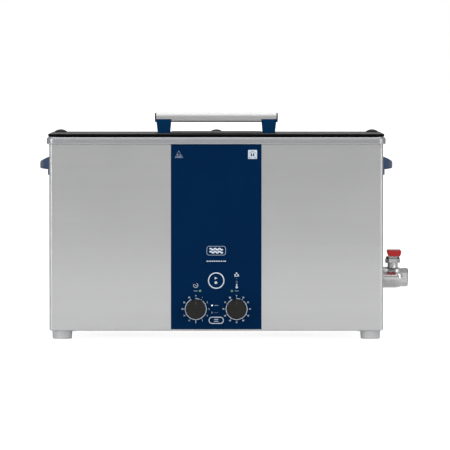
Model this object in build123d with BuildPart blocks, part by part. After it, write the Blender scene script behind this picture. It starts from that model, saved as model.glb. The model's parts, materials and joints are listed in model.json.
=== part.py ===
from build123d import *
import os

# Bench-top ultrasonic cleaner, 28 litres. Millimetres, +Z up, the front faces -Y and the drain valve is on
# the +X end. The origin is on the bench, under the centre of the housing.

os.makedirs("parts", exist_ok=True)

# Housing and rim
BODY_W = 528.0
BODY_D = 324.0
FOOT_H = 13.3
WRAP_TOP = 315.0
SHEET = 1.2
CORNER_R = 5.0
FOLD_R = 2.2
HEM = 14.0
RIM_W = 536.0
RIM_D = 332.0
RIM_R = 12.0
RIM_LOW = 308.0
RIM_TOP = 320.0

# Tank
TANK_W = 505.0
TANK_D = 300.0
TANK_DEPTH = 200.0
TANK_WALL = 2.0
TANK_R = 40.0
TANK_FLOOR_R = 20.0
DRAIN_X = 205.0

# Control strip
FOIL_W = 143.2
FOIL_LOW = 15.6
FOIL_TOP = 312.0
FOIL_T = 0.4
KNOB_X = 32.3
KNOB_Z = 47.6
KNOB_R = 15.4
KNOB_H = 15.6
START_Z = 92.4
START_R = 13.8
MODE_Z = 29.9
MODE_W = 25.2
MODE_H = 12.6
PIPE_SPOTS = [(-25.3, 76.3), (24.8, 76.3), (-6.6, 53.4), (-6.6, 42.0)]

# Lid and its handle
LID_W = 532.0
LID_D = 328.0
LID_R = 16.0
LID_LOW = 320.3
LID_TOP = 324.5
FIELD_W = 146.0
FIELD_H = 1.4
POST_X = 84.4
BAR_Z = 349.2
BAR_R = 7.6
BAR_L = 193.0

# Drain valve
VALVE_X = 285.0
VALVE_Y = 68.0
VALVE_Z = 90.0
OUTLET_X = 310.0
BALL_R = 11.0
BORE_R = 7.5
STEM_R = 3.6
THREAD_R = 10.4
OUTLET_R = 9.3

# Rear panel
FAN_X = -150.0
FAN_Z = 66.0
FAN_SIZE = 60.0
INLET_X = 165.0
SOCKET_Z = 72.0
DRAWER_Z = 48.5

GUARD_T = 1.6
INLET_T = 3.0

# Fits
SHAFT_GAP = 0.05
MOVE_GAP = 0.35
SCREW_R = 1.9
HEAD_R = 3.8
HEAD_H = 2.0

# Places worked out from the sizes above
FRONT = -BODY_D / 2
REAR = BODY_D / 2
SIDE = BODY_W / 2
FRONT_IN = FRONT + SHEET
REAR_IN = REAR - SHEET
SIDE_IN = SIDE - SHEET
PANEL_BACK = REAR_IN
PANEL_IN = REAR_IN - SHEET
FOIL_FACE = FRONT - FOIL_T
BASE_LOW = FOOT_H + SHEET
BASE_TOP = BASE_LOW + SHEET
TANK_FLOOR = RIM_TOP - TANK_DEPTH
TANK_UNDER = TANK_FLOOR - TANK_WALL
FOOT_SPOTS = [(x, y) for x in (-244.0, 244.0) for y in (-142.0, 142.0)]
CONTROL_FACE = FRONT_IN + 12.8
REAR_SCREWS = [(x, z) for x in (-251.0, 251.0) for z in (50.0, 165.0, 290.0)]
FAN_SCREWS = [(FAN_X + x, FAN_Z + z) for x in (-25.0, 25.0) for z in (-25.0, 25.0)]
INLET_SCREWS = [(INLET_X - 20.0, 60.0), (INLET_X + 20.0, 60.0)]
GRIP_SCREWS = [(-60.0, 270.0), (60.0, 270.0)]
HORN_SPOTS = [(x, y) for x in (-160.0, -20.0, 120.0) for y in (-70.0, 70.0)]


def finish(piece, node):
    """Labels a finished piece and writes its STEP file."""
    piece.part.label = node
    export_step(piece.part, f"parts/{node}.step")


def front_plane(y):
    """An upright plane at y: sketch x is X, sketch y is Z, and extrusion goes forward, to -Y."""
    return Plane(origin=(0, y, 0), x_dir=(1, 0, 0), z_dir=(0, -1, 0))


def side_plane(x):
    """An upright plane at x: sketch x is Y, sketch y is Z, and extrusion goes right, to +X."""
    return Plane(origin=(x, 0, 0), x_dir=(0, 1, 0), z_dir=(1, 0, 0))


def rear_plane(y):
    """An upright plane at y: sketch x is -X, sketch y is Z, and extrusion goes backward, to +Y."""
    return Plane(origin=(0, y, 0), x_dir=(-1, 0, 0), z_dir=(0, 1, 0))


def left_plane(x):
    """An upright plane at x: sketch x is -Y, sketch y is Z, and extrusion goes left, to -X."""
    return Plane(origin=(x, 0, 0), x_dir=(0, -1, 0), z_dir=(-1, 0, 0))


def mirrored(spots):
    """The same spots for a plane whose sketch x runs the other way."""
    return [(-across, up) for across, up in spots]


def pan(width, depth, low, high, corner, floor_r):
    """A rounded block whose bottom edge is rounded too, for tubs and what is cut out of them."""
    with BuildPart() as block:
        with BuildSketch(Plane.XY.offset(low)):
            RectangleRounded(width, depth, corner)
        extrude(amount=high - low)
        fillet(block.faces().sort_by(Axis.Z)[0].edges(), floor_r)
    return block.part


# ---------------------------------------------------------------- housing

with BuildPart() as housing_wrap:
    add(pan(BODY_W, BODY_D, FOOT_H, WRAP_TOP, CORNER_R, FOLD_R))
    room_w = BODY_W - 2 * SHEET
    room_d = BODY_D - 2 * SHEET
    add(pan(room_w, room_d, BASE_LOW, WRAP_TOP + 1, CORNER_R - SHEET, FOLD_R - SHEET), mode=Mode.SUBTRACT)
    with BuildSketch(Plane.XY.offset(FOOT_H - 1)):
        Rectangle(BODY_W - 2 * HEM, BODY_D - 2 * HEM)
    extrude(amount=10, mode=Mode.SUBTRACT)
    # Rear window, closed by the rear panel, with a return left standing at each side.
    with BuildSketch(front_plane(REAR + 1)):
        with Locations((0, 180)):
            Rectangle(BODY_W - 44, 300)
    extrude(amount=4, mode=Mode.SUBTRACT)
    with BuildSketch(front_plane(REAR + 1)):
        with Locations(*REAR_SCREWS):
            Circle(SCREW_R + 0.1)
    extrude(amount=4, mode=Mode.SUBTRACT)
    # Openings behind the control foil.
    with BuildSketch(front_plane(FRONT + 3)):
        with Locations((-KNOB_X, KNOB_Z), (KNOB_X, KNOB_Z)):
            Circle(3.8)
        with Locations((0, START_Z)):
            Circle(START_R + MOVE_GAP)
        with Locations((0, MODE_Z)):
            RectangleRounded(MODE_W + 2 * MOVE_GAP, MODE_H + 2 * MOVE_GAP, MODE_H / 2)
        with Locations(*PIPE_SPOTS):
            Circle(1.4)
    extrude(amount=6, mode=Mode.SUBTRACT)
    # Drain pipe and grip screws through the ends.
    with BuildSketch(side_plane(SIDE - 4)):
        with Locations((VALVE_Y, VALVE_Z)):
            Circle(THREAD_R + 0.4)
    extrude(amount=8, mode=Mode.SUBTRACT)
    with BuildSketch(side_plane(-SIDE - 2)):
        with Locations(*GRIP_SCREWS):
            Circle(SCREW_R + 0.1)
    extrude(amount=BODY_W + 4, mode=Mode.SUBTRACT)
finish(housing_wrap, "housing_wrap")

with BuildPart() as rear_panel:
    with BuildSketch(front_plane(REAR_IN)):
        with Locations((0, (16.6 + WRAP_TOP - 1) / 2)):
            Rectangle(516, WRAP_TOP - 1 - 16.6)
        with Locations((FAN_X, FAN_Z)):
            Circle(28.0, mode=Mode.SUBTRACT)
        with Locations((INLET_X, 60.5)):
            Rectangle(27.4, 47.4, mode=Mode.SUBTRACT)
        with Locations(*REAR_SCREWS, *FAN_SCREWS, *INLET_SCREWS):
            Circle(SCREW_R + 0.1, mode=Mode.SUBTRACT)
        for column in (-120, 0, 120):
            with Locations((column, 262)):
                with GridLocations(1, 9, 1, 6):
                    SlotOverall(86, 4, mode=Mode.SUBTRACT)
    extrude(amount=SHEET)
finish(rear_panel, "rear_panel")

with BuildPart() as base_plate:
    with BuildSketch(Plane.XY.offset(BASE_LOW)):
        Rectangle(516, 314)
        with Locations(*FOOT_SPOTS):
            Circle(2.5, mode=Mode.SUBTRACT)
        for column in (-150, 110):
            with Locations((column, 0)):
                with GridLocations(1, 12, 1, 8):
                    SlotOverall(96, 4.5, mode=Mode.SUBTRACT)
    extrude(amount=SHEET)
finish(base_plate, "base_plate")

with BuildPart() as feet:
    with BuildSketch(Plane.XY):
        with Locations(*FOOT_SPOTS):
            Circle(15.2)
    extrude(amount=FOOT_H, taper=-3.4)
    bottoms = feet.edges().group_by(Axis.Z)[0]
    fillet(bottoms, 1.2)
    with BuildSketch(Plane.XY):
        with Locations(*FOOT_SPOTS):
            Circle(5.6)
    extrude(amount=6, mode=Mode.SUBTRACT)
    with BuildSketch(Plane.XY):
        with Locations(*FOOT_SPOTS):
            Circle(2.5)
    extrude(amount=FOOT_H, mode=Mode.SUBTRACT)
finish(feet, "feet")

with BuildPart() as foot_screws:
    with BuildSketch(Plane.XY.offset(3)):
        with Locations(*FOOT_SPOTS):
            Circle(4.9)
    extrude(amount=3)
    with BuildSketch(Plane.XY.offset(3)):
        with Locations(*FOOT_SPOTS):
            RegularPolygon(2.4, 6)
    extrude(amount=1.8, mode=Mode.SUBTRACT)
    with BuildSketch(Plane.XY.offset(6)):
        with Locations(*FOOT_SPOTS):
            Circle(2.4)
    extrude(amount=13)
finish(foot_screws, "foot_screws")



def screws(plane, spots, length):
    """Pan-head screws seated on a plane: heads on the side its normal points to, shanks on the other."""
    with BuildPart() as group:
        with BuildSketch(plane):
            with Locations(*spots):
                Circle(HEAD_R)
        extrude(amount=HEAD_H)
        with BuildSketch(plane.offset(HEAD_H - 0.9)):
            with Locations(*spots):
                Rectangle(0.9, 4.6)
                Rectangle(4.6, 0.9)
        extrude(amount=0.9, mode=Mode.SUBTRACT)
        with BuildSketch(plane):
            with Locations(*spots):
                Circle(SCREW_R)
        extrude(amount=-length)
    return group.part


with BuildPart() as panel_screws:
    add(screws(rear_plane(REAR), mirrored(REAR_SCREWS), 7.6))
    add(screws(rear_plane(PANEL_BACK + GUARD_T), mirrored(FAN_SCREWS), 8))
    add(screws(rear_plane(PANEL_BACK + INLET_T), mirrored(INLET_SCREWS), 8))
    add(screws(side_plane(-SIDE_IN), GRIP_SCREWS, 8))
    add(screws(left_plane(SIDE_IN), mirrored(GRIP_SCREWS), 8))
finish(panel_screws, "panel_screws")

# ---------------------------------------------------------------- carrying grips

GRIP_HALF = 68.0
GRIP_TOP = [(0, 285.4), (7, 284.9), (12.4, 282.6), (17, 278.0)]
GRIP_UNDER = [(17, 270.6), (15.4, 268.6), (10, 267.6), (4.6, 267.0)]
GRIP_TAIL = [(4.6, 267.0), (4.6, 258.0), (0, 258.0), (0, 285.4)]


def grip(node, end, facing):
    """A hooded grip on an end wall: end is the X of the wall, facing is 1 on the right and -1 on the left."""
    top = [(end + facing * out, up) for out, up in GRIP_TOP]
    under = [(end + facing * out, up) for out, up in GRIP_UNDER]
    tail = [(end + facing * out, up) for out, up in GRIP_TAIL]
    with BuildPart() as piece:
        with BuildSketch(front_plane(GRIP_HALF)):
            with BuildLine():
                Spline(*top, tangents=[(facing, -0.02), (0.15 * facing, -1)])
                Line(top[-1], under[0])
                Spline(*under, tangents=[(-0.1 * facing, -1), (-facing, -0.03)])
                Polyline(*tail)
            make_face()
        extrude(amount=2 * GRIP_HALF)
        tips = piece.faces().filter_by(Axis.Y)
        fillet(tips.edges(), 1.0)
        # The hollow for the fingers, open below.
        with BuildSketch(Plane.XY.offset(250)):
            with Locations((end + facing * 8.7, 0)):
                Rectangle(11.8, 2 * 52.0)
        extrude(amount=279.6 - 250, mode=Mode.SUBTRACT)
        with BuildSketch(side_plane(end)):
            with Locations(*GRIP_SCREWS):
                Circle(SCREW_R)
        extrude(amount=facing * 8, mode=Mode.SUBTRACT)
    finish(piece, node)


grip("left_grip", -SIDE, -1)
grip("right_grip", SIDE, 1)


# ---------------------------------------------------------------- tank

with BuildPart() as tank:
    with BuildSketch(Plane.XY.offset(RIM_LOW)):
        RectangleRounded(RIM_W, RIM_D, RIM_R)
    extrude(amount=RIM_TOP - RIM_LOW)
    fillet(tank.faces().sort_by(Axis.Z)[-1].edges(), 4.5)
    fillet(tank.faces().sort_by(Axis.Z)[0].edges(), 1.9)
    with BuildSketch(Plane.XY.offset(RIM_LOW - 1)):
        RectangleRounded(RIM_W - 2 * TANK_WALL - 0.4, RIM_D - 2 * TANK_WALL - 0.4, RIM_R - TANK_WALL - 0.2)
    extrude(amount=RIM_TOP - TANK_WALL - 0.4 - RIM_LOW + 1, mode=Mode.SUBTRACT)
    add(pan(TANK_W + 2 * TANK_WALL, TANK_D + 2 * TANK_WALL, TANK_UNDER, RIM_TOP - 0.5, TANK_R + TANK_WALL,
            TANK_FLOOR_R + TANK_WALL))
    add(pan(TANK_W, TANK_D, TANK_FLOOR, RIM_TOP + 1, TANK_R, TANK_FLOOR_R), mode=Mode.SUBTRACT)
    mouth = tank.faces().sort_by(Axis.Z)[-1].inner_wires().edges()
    fillet(mouth, 1.6)
    with BuildSketch(Plane.XY.offset(TANK_UNDER - 1)):
        with Locations((DRAIN_X, VALVE_Y)):
            Circle(8)
    extrude(amount=TANK_WALL + 2, mode=Mode.SUBTRACT)
finish(tank, "tank")

with BuildPart() as tank_gasket:
    with BuildSketch(Plane.XY.offset(WRAP_TOP)):
        RectangleRounded(530, 326, 8)
        RectangleRounded(521, 317, 4, mode=Mode.SUBTRACT)
    extrude(amount=RIM_TOP - TANK_WALL - 0.4 - WRAP_TOP)
finish(tank_gasket, "tank_gasket")

with BuildPart() as drain_strainer:
    with BuildSketch(Plane.XY.offset(TANK_FLOOR)):
        with Locations((DRAIN_X, VALVE_Y)):
            Circle(15)
            with PolarLocations(8.5, 8):
                Circle(1.6, mode=Mode.SUBTRACT)
            Circle(2.4, mode=Mode.SUBTRACT)
    extrude(amount=1.2)
finish(drain_strainer, "drain_strainer")

with BuildPart() as heating_pads:
    for face in (-1, 1):
        pad_far = face * (TANK_D / 2 + TANK_WALL)
        with BuildSketch(front_plane(max(pad_far, pad_far + face * 2.2))):
            with Locations((0, 195)):
                RectangleRounded(400, 90, 6)
        extrude(amount=2.2)
finish(heating_pads, "heating_pads")

with BuildPart() as temperature_sensor:
    with Locations((-90, 0, TANK_UNDER - 5)):
        Box(26, 14, 10)
    with BuildSketch(side_plane(-77)):
        with Locations((0, TANK_UNDER - 5)):
            Circle(3)
    extrude(amount=14)
finish(temperature_sensor, "temperature_sensor")

with BuildPart() as safety_thermostat:
    with BuildSketch(Plane.XY.offset(TANK_UNDER)):
        with Locations((50, 0)):
            Circle(12.5)
    extrude(amount=-5)
    with Locations((50, 0, TANK_UNDER - 8)):
        Box(16, 12, 6)
    with Locations((46, 0, TANK_UNDER - 14), (54, 0, TANK_UNDER - 14)):
        Box(0.8, 6, 6)
finish(safety_thermostat, "safety_thermostat")

# ---------------------------------------------------------------- sound transducers under the tank

HORN_H = 26.0
HORN_R = 22.0
STACK_R = 17.5
RING_H = 5.0
CONTACT_H = 0.4
BACK_H = 20.0
HORN_LOW = TANK_UNDER - HORN_H
RINGS_LOW = HORN_LOW - 2 * (RING_H + CONTACT_H)
BACK_LOW = RINGS_LOW - BACK_H

with BuildPart() as transducer_horns:
    with BuildSketch(Plane.XY.offset(HORN_LOW)):
        with Locations(*HORN_SPOTS):
            Circle(STACK_R)
    extrude(amount=8)
    for spot in HORN_SPOTS:
        with BuildSketch(Plane.XY.offset(HORN_LOW + 8)):
            with Locations(spot):
                Circle(STACK_R)
        with BuildSketch(Plane.XY.offset(TANK_UNDER)):
            with Locations(spot):
                Circle(HORN_R)
        loft()
    with BuildSketch(Plane.XY.offset(HORN_LOW)):
        with Locations(*HORN_SPOTS):
            Circle(4.1)
    extrude(amount=15, mode=Mode.SUBTRACT)
finish(transducer_horns, "transducer_horns")

with BuildPart() as piezo_rings:
    for low in (RINGS_LOW + CONTACT_H, RINGS_LOW + 2 * CONTACT_H + RING_H):
        with BuildSketch(Plane.XY.offset(low)):
            with Locations(*HORN_SPOTS):
                Circle(STACK_R)
                Circle(7, mode=Mode.SUBTRACT)
        extrude(amount=RING_H)
finish(piezo_rings, "piezo_rings")

with BuildPart() as contact_rings:
    for low in (RINGS_LOW, RINGS_LOW + CONTACT_H + RING_H):
        with BuildSketch(Plane.XY.offset(low)):
            with Locations(*HORN_SPOTS):
                Circle(STACK_R)
                with Locations((STACK_R, 0)):
                    Rectangle(16, 5)
                Circle(7, mode=Mode.SUBTRACT)
        extrude(amount=CONTACT_H)
finish(contact_rings, "contact_rings")

with BuildPart() as backing_masses:
    with BuildSketch(Plane.XY.offset(BACK_LOW)):
        with Locations(*HORN_SPOTS):
            Circle(STACK_R)
            Circle(4.3, mode=Mode.SUBTRACT)
    extrude(amount=BACK_H)
finish(backing_masses, "backing_masses")

with BuildPart() as transducer_bolts:
    with BuildSketch(Plane.XY.offset(BACK_LOW)):
        with Locations(*HORN_SPOTS):
            Circle(4.1)
    extrude(amount=BACK_H + 2 * (RING_H + CONTACT_H) + 15)
    with BuildSketch(Plane.XY.offset(BACK_LOW - 6)):
        with Locations(*HORN_SPOTS):
            RegularPolygon(7.5, 6)
    extrude(amount=6)
finish(transducer_bolts, "transducer_bolts")

# ---------------------------------------------------------------- drain line and ball valve

with BuildPart() as drain_socket:
    with BuildSketch(Plane.XY.offset(104)):
        with Locations((DRAIN_X, VALVE_Y)):
            Circle(15)
            Circle(THREAD_R, mode=Mode.SUBTRACT)
    extrude(amount=TANK_UNDER - 104)
    with BuildSketch(Plane.XY.offset(TANK_UNDER - 2)):
        with Locations((DRAIN_X, VALVE_Y)):
            Circle(21)
            Circle(THREAD_R, mode=Mode.SUBTRACT)
    extrude(amount=2)
finish(drain_socket, "drain_socket")

with BuildPart() as drain_elbow:
    with BuildLine() as bend:
        FilletPolyline((DRAIN_X, VALVE_Y, 116), (DRAIN_X, VALVE_Y, VALVE_Z), (242, VALVE_Y, VALVE_Z), radius=14)
    with BuildSketch(Plane(origin=bend.line @ 0, z_dir=bend.line % 0)):
        Circle(THREAD_R)
        Circle(8, mode=Mode.SUBTRACT)
    sweep(path=bend.line)
finish(drain_elbow, "drain_elbow")

with BuildPart() as drain_coupling:
    with BuildSketch(side_plane(232)):
        with Locations((VALVE_Y, VALVE_Z)):
            RegularPolygon(15.6, 6)
    extrude(amount=25)
    with BuildSketch(side_plane(232)):
        with Locations((VALVE_Y, VALVE_Z)):
            Circle(THREAD_R)
    extrude(amount=25, mode=Mode.SUBTRACT)
    with BuildSketch(side_plane(242)):
        with Locations((VALVE_Y, VALVE_Z)):
            Circle(THREAD_R)
            Circle(8, mode=Mode.SUBTRACT)
    extrude(amount=8)
finish(drain_coupling, "drain_coupling")

with BuildPart() as drain_locknut:
    with BuildSketch(side_plane(SIDE_IN - 5)):
        with Locations((VALVE_Y, VALVE_Z)):
            RegularPolygon(15.6, 6)
            Circle(THREAD_R, mode=Mode.SUBTRACT)
    extrude(amount=5)
finish(drain_locknut, "drain_locknut")

VALVE_AXIS = Axis((VALVE_X, VALVE_Y, VALVE_Z), (1, 0, 0))
CHAMBER_R = 12.9
CHAMBER_HALF = 12.4
SEAT_NEAR = 8.2
NECK_TOP = 113.0
GLAND_TOP = 120.6

with BuildPart() as valve_body:
    # Half section of the turned casting: threaded tail, ball chamber and the shoulder of the outlet.
    with BuildSketch(Plane(origin=(0, VALVE_Y, VALVE_Z), x_dir=(1, 0, 0), z_dir=(0, -1, 0))):
        with BuildLine():
            Polyline((250, 0), (250, THREAD_R), (SIDE + 0.4, THREAD_R), (SIDE + 0.4, 15.6), (SIDE + 2, 17.2),
                     (VALVE_X + 3, 17.2))
            ThreePointArc((VALVE_X + 3, 17.2), (VALVE_X + 10, 16.3), (VALVE_X + 16, 13.4))
            Polyline((VALVE_X + 16, 13.4), (VALVE_X + 16, 0), (250, 0))
        make_face()
    revolve(axis=VALVE_AXIS)
    # Hexagon outlet, one corner up, bevelled at its mouth.
    with BuildSketch(side_plane(VALVE_X + 7)):
        with Locations((VALVE_Y, VALVE_Z)):
            RegularPolygon(15.2, 6, rotation=30)
    extrude(amount=OUTLET_X - VALVE_X - 7)
    chamfer(valve_body.faces().sort_by(Axis.X)[-1].edges(), 2.0)
    # Neck for the stem.
    with BuildSketch(Plane.XY.offset(VALVE_Z + 8)):
        with Locations((VALVE_X, VALVE_Y)):
            Circle(8.4)
    extrude(amount=NECK_TOP - VALVE_Z - 8)
    # Waterway, ball chamber, seats and outlet thread.
    with BuildSketch(side_plane(249)):
        with Locations((VALVE_Y, VALVE_Z)):
            Circle(BORE_R)
    extrude(amount=OUTLET_X - 249, mode=Mode.SUBTRACT)
    with BuildSketch(side_plane(VALVE_X - CHAMBER_HALF)):
        with Locations((VALVE_Y, VALVE_Z)):
            Circle(CHAMBER_R)
    extrude(amount=2 * CHAMBER_HALF, mode=Mode.SUBTRACT)
    with BuildSketch(side_plane(OUTLET_X - 11.6)):
        with Locations((VALVE_Y, VALVE_Z)):
            Circle(OUTLET_R)
    extrude(amount=11.6, mode=Mode.SUBTRACT)
    with BuildSketch(Plane.XY.offset(VALVE_Z)):
        with Locations((VALVE_X, VALVE_Y)):
            Circle(STEM_R + SHAFT_GAP)
    extrude(amount=NECK_TOP - VALVE_Z, mode=Mode.SUBTRACT)
    with BuildSketch(Plane.XY.offset(NECK_TOP - 3)):
        with Locations((VALVE_X, VALVE_Y)):
            Circle(5.4)
    extrude(amount=3, mode=Mode.SUBTRACT)
finish(valve_body, "valve_body")

with BuildPart() as valve_seals:
    for near in (-CHAMBER_HALF, SEAT_NEAR):
        with BuildSketch(side_plane(VALVE_X + near)):
            with Locations((VALVE_Y, VALVE_Z)):
                Circle(CHAMBER_R)
                Circle(7.9, mode=Mode.SUBTRACT)
        extrude(amount=CHAMBER_HALF - SEAT_NEAR)
    with BuildSketch(Plane.XY.offset(NECK_TOP - 3)):
        with Locations((VALVE_X, VALVE_Y)):
            Circle(5.4)
            Circle(STEM_R + SHAFT_GAP, mode=Mode.SUBTRACT)
    extrude(amount=3)
finish(valve_seals, "valve_seals")

with BuildPart() as gland_nut:
    with BuildSketch(Plane.XY.offset(NECK_TOP)):
        with Locations((VALVE_X, VALVE_Y)):
            RegularPolygon(12.2, 6)
    extrude(amount=GLAND_TOP - NECK_TOP)
    chamfer(gland_nut.faces().filter_by(Axis.Z).edges(), 0.7)
    with BuildSketch(Plane.XY.offset(NECK_TOP)):
        with Locations((VALVE_X, VALVE_Y)):
            Circle(STEM_R + SHAFT_GAP)
    extrude(amount=GLAND_TOP - NECK_TOP, mode=Mode.SUBTRACT)
finish(gland_nut, "gland_nut")

LEVER_LOW = GLAND_TOP + 0.9
LEVER_T = 2.4
LEVER_RISE = 7.2
SLEEVE_LOW = 126.5
SLEEVE_H = 9.8
LEVER_L = 92.0

with BuildPart() as valve_ball:
    with Locations((VALVE_X, VALVE_Y, VALVE_Z)):
        Sphere(BALL_R)
        Cylinder(7.0, 2 * BALL_R, rotation=(90, 0, 0), mode=Mode.SUBTRACT)
    # Slot that the stem's tongue sits in, and its flat.
    with Locations((VALVE_X, VALVE_Y, VALVE_Z + BALL_R)):
        Box(2 * BALL_R, 4.0, 6.0, mode=Mode.SUBTRACT)
finish(valve_ball, "valve_ball")

with BuildPart() as valve_stem:
    with BuildSketch(Plane.XY.offset(VALVE_Z + BALL_R)):
        with Locations((VALVE_X, VALVE_Y)):
            Circle(STEM_R)
    extrude(amount=LEVER_LOW + LEVER_T + 4.4 - VALVE_Z - BALL_R)
    with Locations((VALVE_X, VALVE_Y, VALVE_Z + BALL_R - 1.5)):
        Box(6.0, 4.0, 3.0)
finish(valve_stem, "valve_stem")

with BuildPart() as valve_lever:
    # Flat hub on the stem, then a crank up into the sleeve.
    with BuildSketch(Plane.XY.offset(LEVER_LOW)):
        with Locations((VALVE_X, VALVE_Y)):
            Circle(10.0)
        with Locations((VALVE_X, VALVE_Y - 12)):
            Rectangle(14.0, 24.0)
        with Locations((VALVE_X, VALVE_Y)):
            Circle(STEM_R, mode=Mode.SUBTRACT)
    extrude(amount=LEVER_T)
    with BuildSketch(side_plane(VALVE_X - 7)):
        with BuildLine():
            Polyline((VALVE_Y - 23, LEVER_LOW), (VALVE_Y - 23, LEVER_LOW + LEVER_T),
                     (VALVE_Y - 34, LEVER_LOW + LEVER_T + LEVER_RISE), (VALVE_Y - 34, LEVER_LOW + LEVER_RISE),
                     close=True)
        make_face()
    extrude(amount=14)
    with BuildSketch(Plane.XY.offset(LEVER_LOW + LEVER_RISE)):
        with Locations((VALVE_X, VALVE_Y - 33 - (LEVER_L - 37) / 2)):
            Rectangle(14.0, LEVER_L - 37)
    extrude(amount=LEVER_T)
finish(valve_lever, "valve_lever")

with BuildPart() as lever_sleeve:
    grip_end = Plane(origin=(VALVE_X + 0.4, VALVE_Y - 38, SLEEVE_LOW), x_dir=(1, 0, 0), z_dir=(0, -1, 0))
    with BuildSketch(grip_end):
        with BuildLine():
            Polyline((-9.4, 0), (9.4, 0), (11.4, SLEEVE_H - 3.4), (11.0, SLEEVE_H), (-11.0, SLEEVE_H),
                     (-11.4, SLEEVE_H - 3.4), close=True)
        make_face()
    extrude(amount=LEVER_L - 38)
    fillet(lever_sleeve.edges().filter_by(Axis.Y), 1.8)
    fillet(lever_sleeve.faces().sort_by(Axis.Y)[0].edges(), 1.6)
    # Slot that the lever is pushed into.
    with BuildSketch(Plane.XY.offset(LEVER_LOW + LEVER_RISE)):
        with Locations((VALVE_X, VALVE_Y - 38 - (LEVER_L - 42) / 2)):
            Rectangle(14.0, LEVER_L - 42)
    extrude(amount=LEVER_T, mode=Mode.SUBTRACT)
finish(lever_sleeve, "lever_sleeve")

with BuildPart() as lever_nut:
    with BuildSketch(Plane.XY.offset(LEVER_LOW + LEVER_T)):
        with Locations((VALVE_X, VALVE_Y)):
            RegularPolygon(6.4, 6)
            Circle(STEM_R, mode=Mode.SUBTRACT)
    extrude(amount=3.4)
finish(lever_nut, "lever_nut")

# ---------------------------------------------------------------- control strip

with BuildPart() as control_foil:
    with BuildSketch(front_plane(FRONT)):
        with Locations((0, (FOIL_LOW + FOIL_TOP) / 2)):
            Rectangle(FOIL_W, FOIL_TOP - FOIL_LOW)
        with Locations((-KNOB_X, KNOB_Z), (KNOB_X, KNOB_Z)):
            Circle(4.4, mode=Mode.SUBTRACT)
        with Locations((0, START_Z)):
            Circle(START_R + MOVE_GAP, mode=Mode.SUBTRACT)
        with Locations((0, MODE_Z)):
            RectangleRounded(MODE_W + 2 * MOVE_GAP, MODE_H + 2 * MOVE_GAP, MODE_H / 2, mode=Mode.SUBTRACT)
        with Locations(*PIPE_SPOTS):
            Circle(1.4, mode=Mode.SUBTRACT)
    extrude(amount=FOIL_T)
finish(control_foil, "control_foil")

with BuildPart() as light_pipes:
    with BuildSketch(front_plane(CONTROL_FACE - 1.4)):
        with Locations(*PIPE_SPOTS):
            Circle(1.35)
    extrude(amount=CONTROL_FACE - 1.4 - FOIL_FACE + 0.15)
finish(light_pipes, "light_pipes")

with BuildPart() as control_board:
    with BuildSketch(front_plane(CONTROL_FACE + 1.6)):
        with Locations((0, 65)):
            Rectangle(126, 92)
    extrude(amount=1.6)
    # Connector headers on the back.
    with Locations((-38, CONTROL_FACE + 5.6, 92), (38, CONTROL_FACE + 5.6, 92)):
        Box(26, 8, 9)
finish(control_board, "control_board")

with BuildPart() as rotary_switches:
    with BuildSketch(front_plane(CONTROL_FACE)):
        with Locations((-KNOB_X, KNOB_Z), (KNOB_X, KNOB_Z)):
            RectangleRounded(14, 14, 1)
    extrude(amount=6.6)
    with BuildSketch(front_plane(CONTROL_FACE - 6.6)):
        with Locations((-KNOB_X, KNOB_Z), (KNOB_X, KNOB_Z)):
            Circle(3.7)
    extrude(amount=9.5)
    with BuildSketch(front_plane(CONTROL_FACE)):
        with Locations((-KNOB_X, KNOB_Z), (KNOB_X, KNOB_Z)):
            Circle(3 + SHAFT_GAP)
    extrude(amount=17, mode=Mode.SUBTRACT)
finish(rotary_switches, "rotary_switches")

with BuildPart() as key_switches:
    with BuildSketch(front_plane(CONTROL_FACE)):
        with Locations((0, START_Z), (0, MODE_Z)):
            RectangleRounded(12, 12, 0.8)
    extrude(amount=4.3)
finish(key_switches, "key_switches")


def knob(node, shaft_node, x):
    """A fluted dial knob, its bore and the switch shaft that turns with it."""
    back = FOIL_FACE - 0.6
    face = back - KNOB_H
    turn = Axis((x, 0, KNOB_Z), (0, 1, 0))
    with BuildPart() as piece:
        # Half section: skirt, tapered wall, dished face, and a hollow back with a hub.
        with BuildSketch(Plane(origin=(x, 0, KNOB_Z), x_dir=(1, 0, 0), z_dir=(0, 0, 1))):
            with BuildLine():
                Polyline((0, face + 1.0), (11.6, face), (13.2, face))
                ThreePointArc((13.2, face), (13.97, face + 0.33), (14.3, face + 1.1))
                Polyline((14.3, face + 1.1), (14.8, back - 2.4), (KNOB_R, back - 2.0), (KNOB_R, back),
                         (12.6, back), (12.6, back - 9), (6.2, back - 9), (6.2, back - 3.4), (3, back - 3.4),
                         (3, face + 3), (0, face + 3), (0, face + 1.0))
            make_face()
        revolve(axis=turn)
        # Finger flutes round the wall.
        with BuildSketch(front_plane(back - 2.4)):
            with Locations((x, KNOB_Z)):
                with PolarLocations(KNOB_R - 0.4, 28):
                    Circle(0.85)
        extrude(amount=KNOB_H - 3.4, mode=Mode.SUBTRACT)
        # Groove for the pointer line.
        with Locations((x, face + 0.5, KNOB_Z + 10.2)):
            Box(1.4, 1.6, 5.2, mode=Mode.SUBTRACT)
    finish(piece, node)
    with BuildPart() as shaft:
        with BuildSketch(front_plane(CONTROL_FACE - 1)):
            with Locations((x, KNOB_Z)):
                Circle(3)
        extrude(amount=CONTROL_FACE - 1 - face - 3)
    finish(shaft, shaft_node)


knob("timer_knob", "timer_shaft", -KNOB_X)
knob("temperature_knob", "temperature_shaft", KNOB_X)

KEY_FACE = FOIL_FACE - 0.6
KEY_BACK = FRONT_IN + 0.4
KEY_STEM_END = CONTROL_FACE - 4.3 - 0.9

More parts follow.
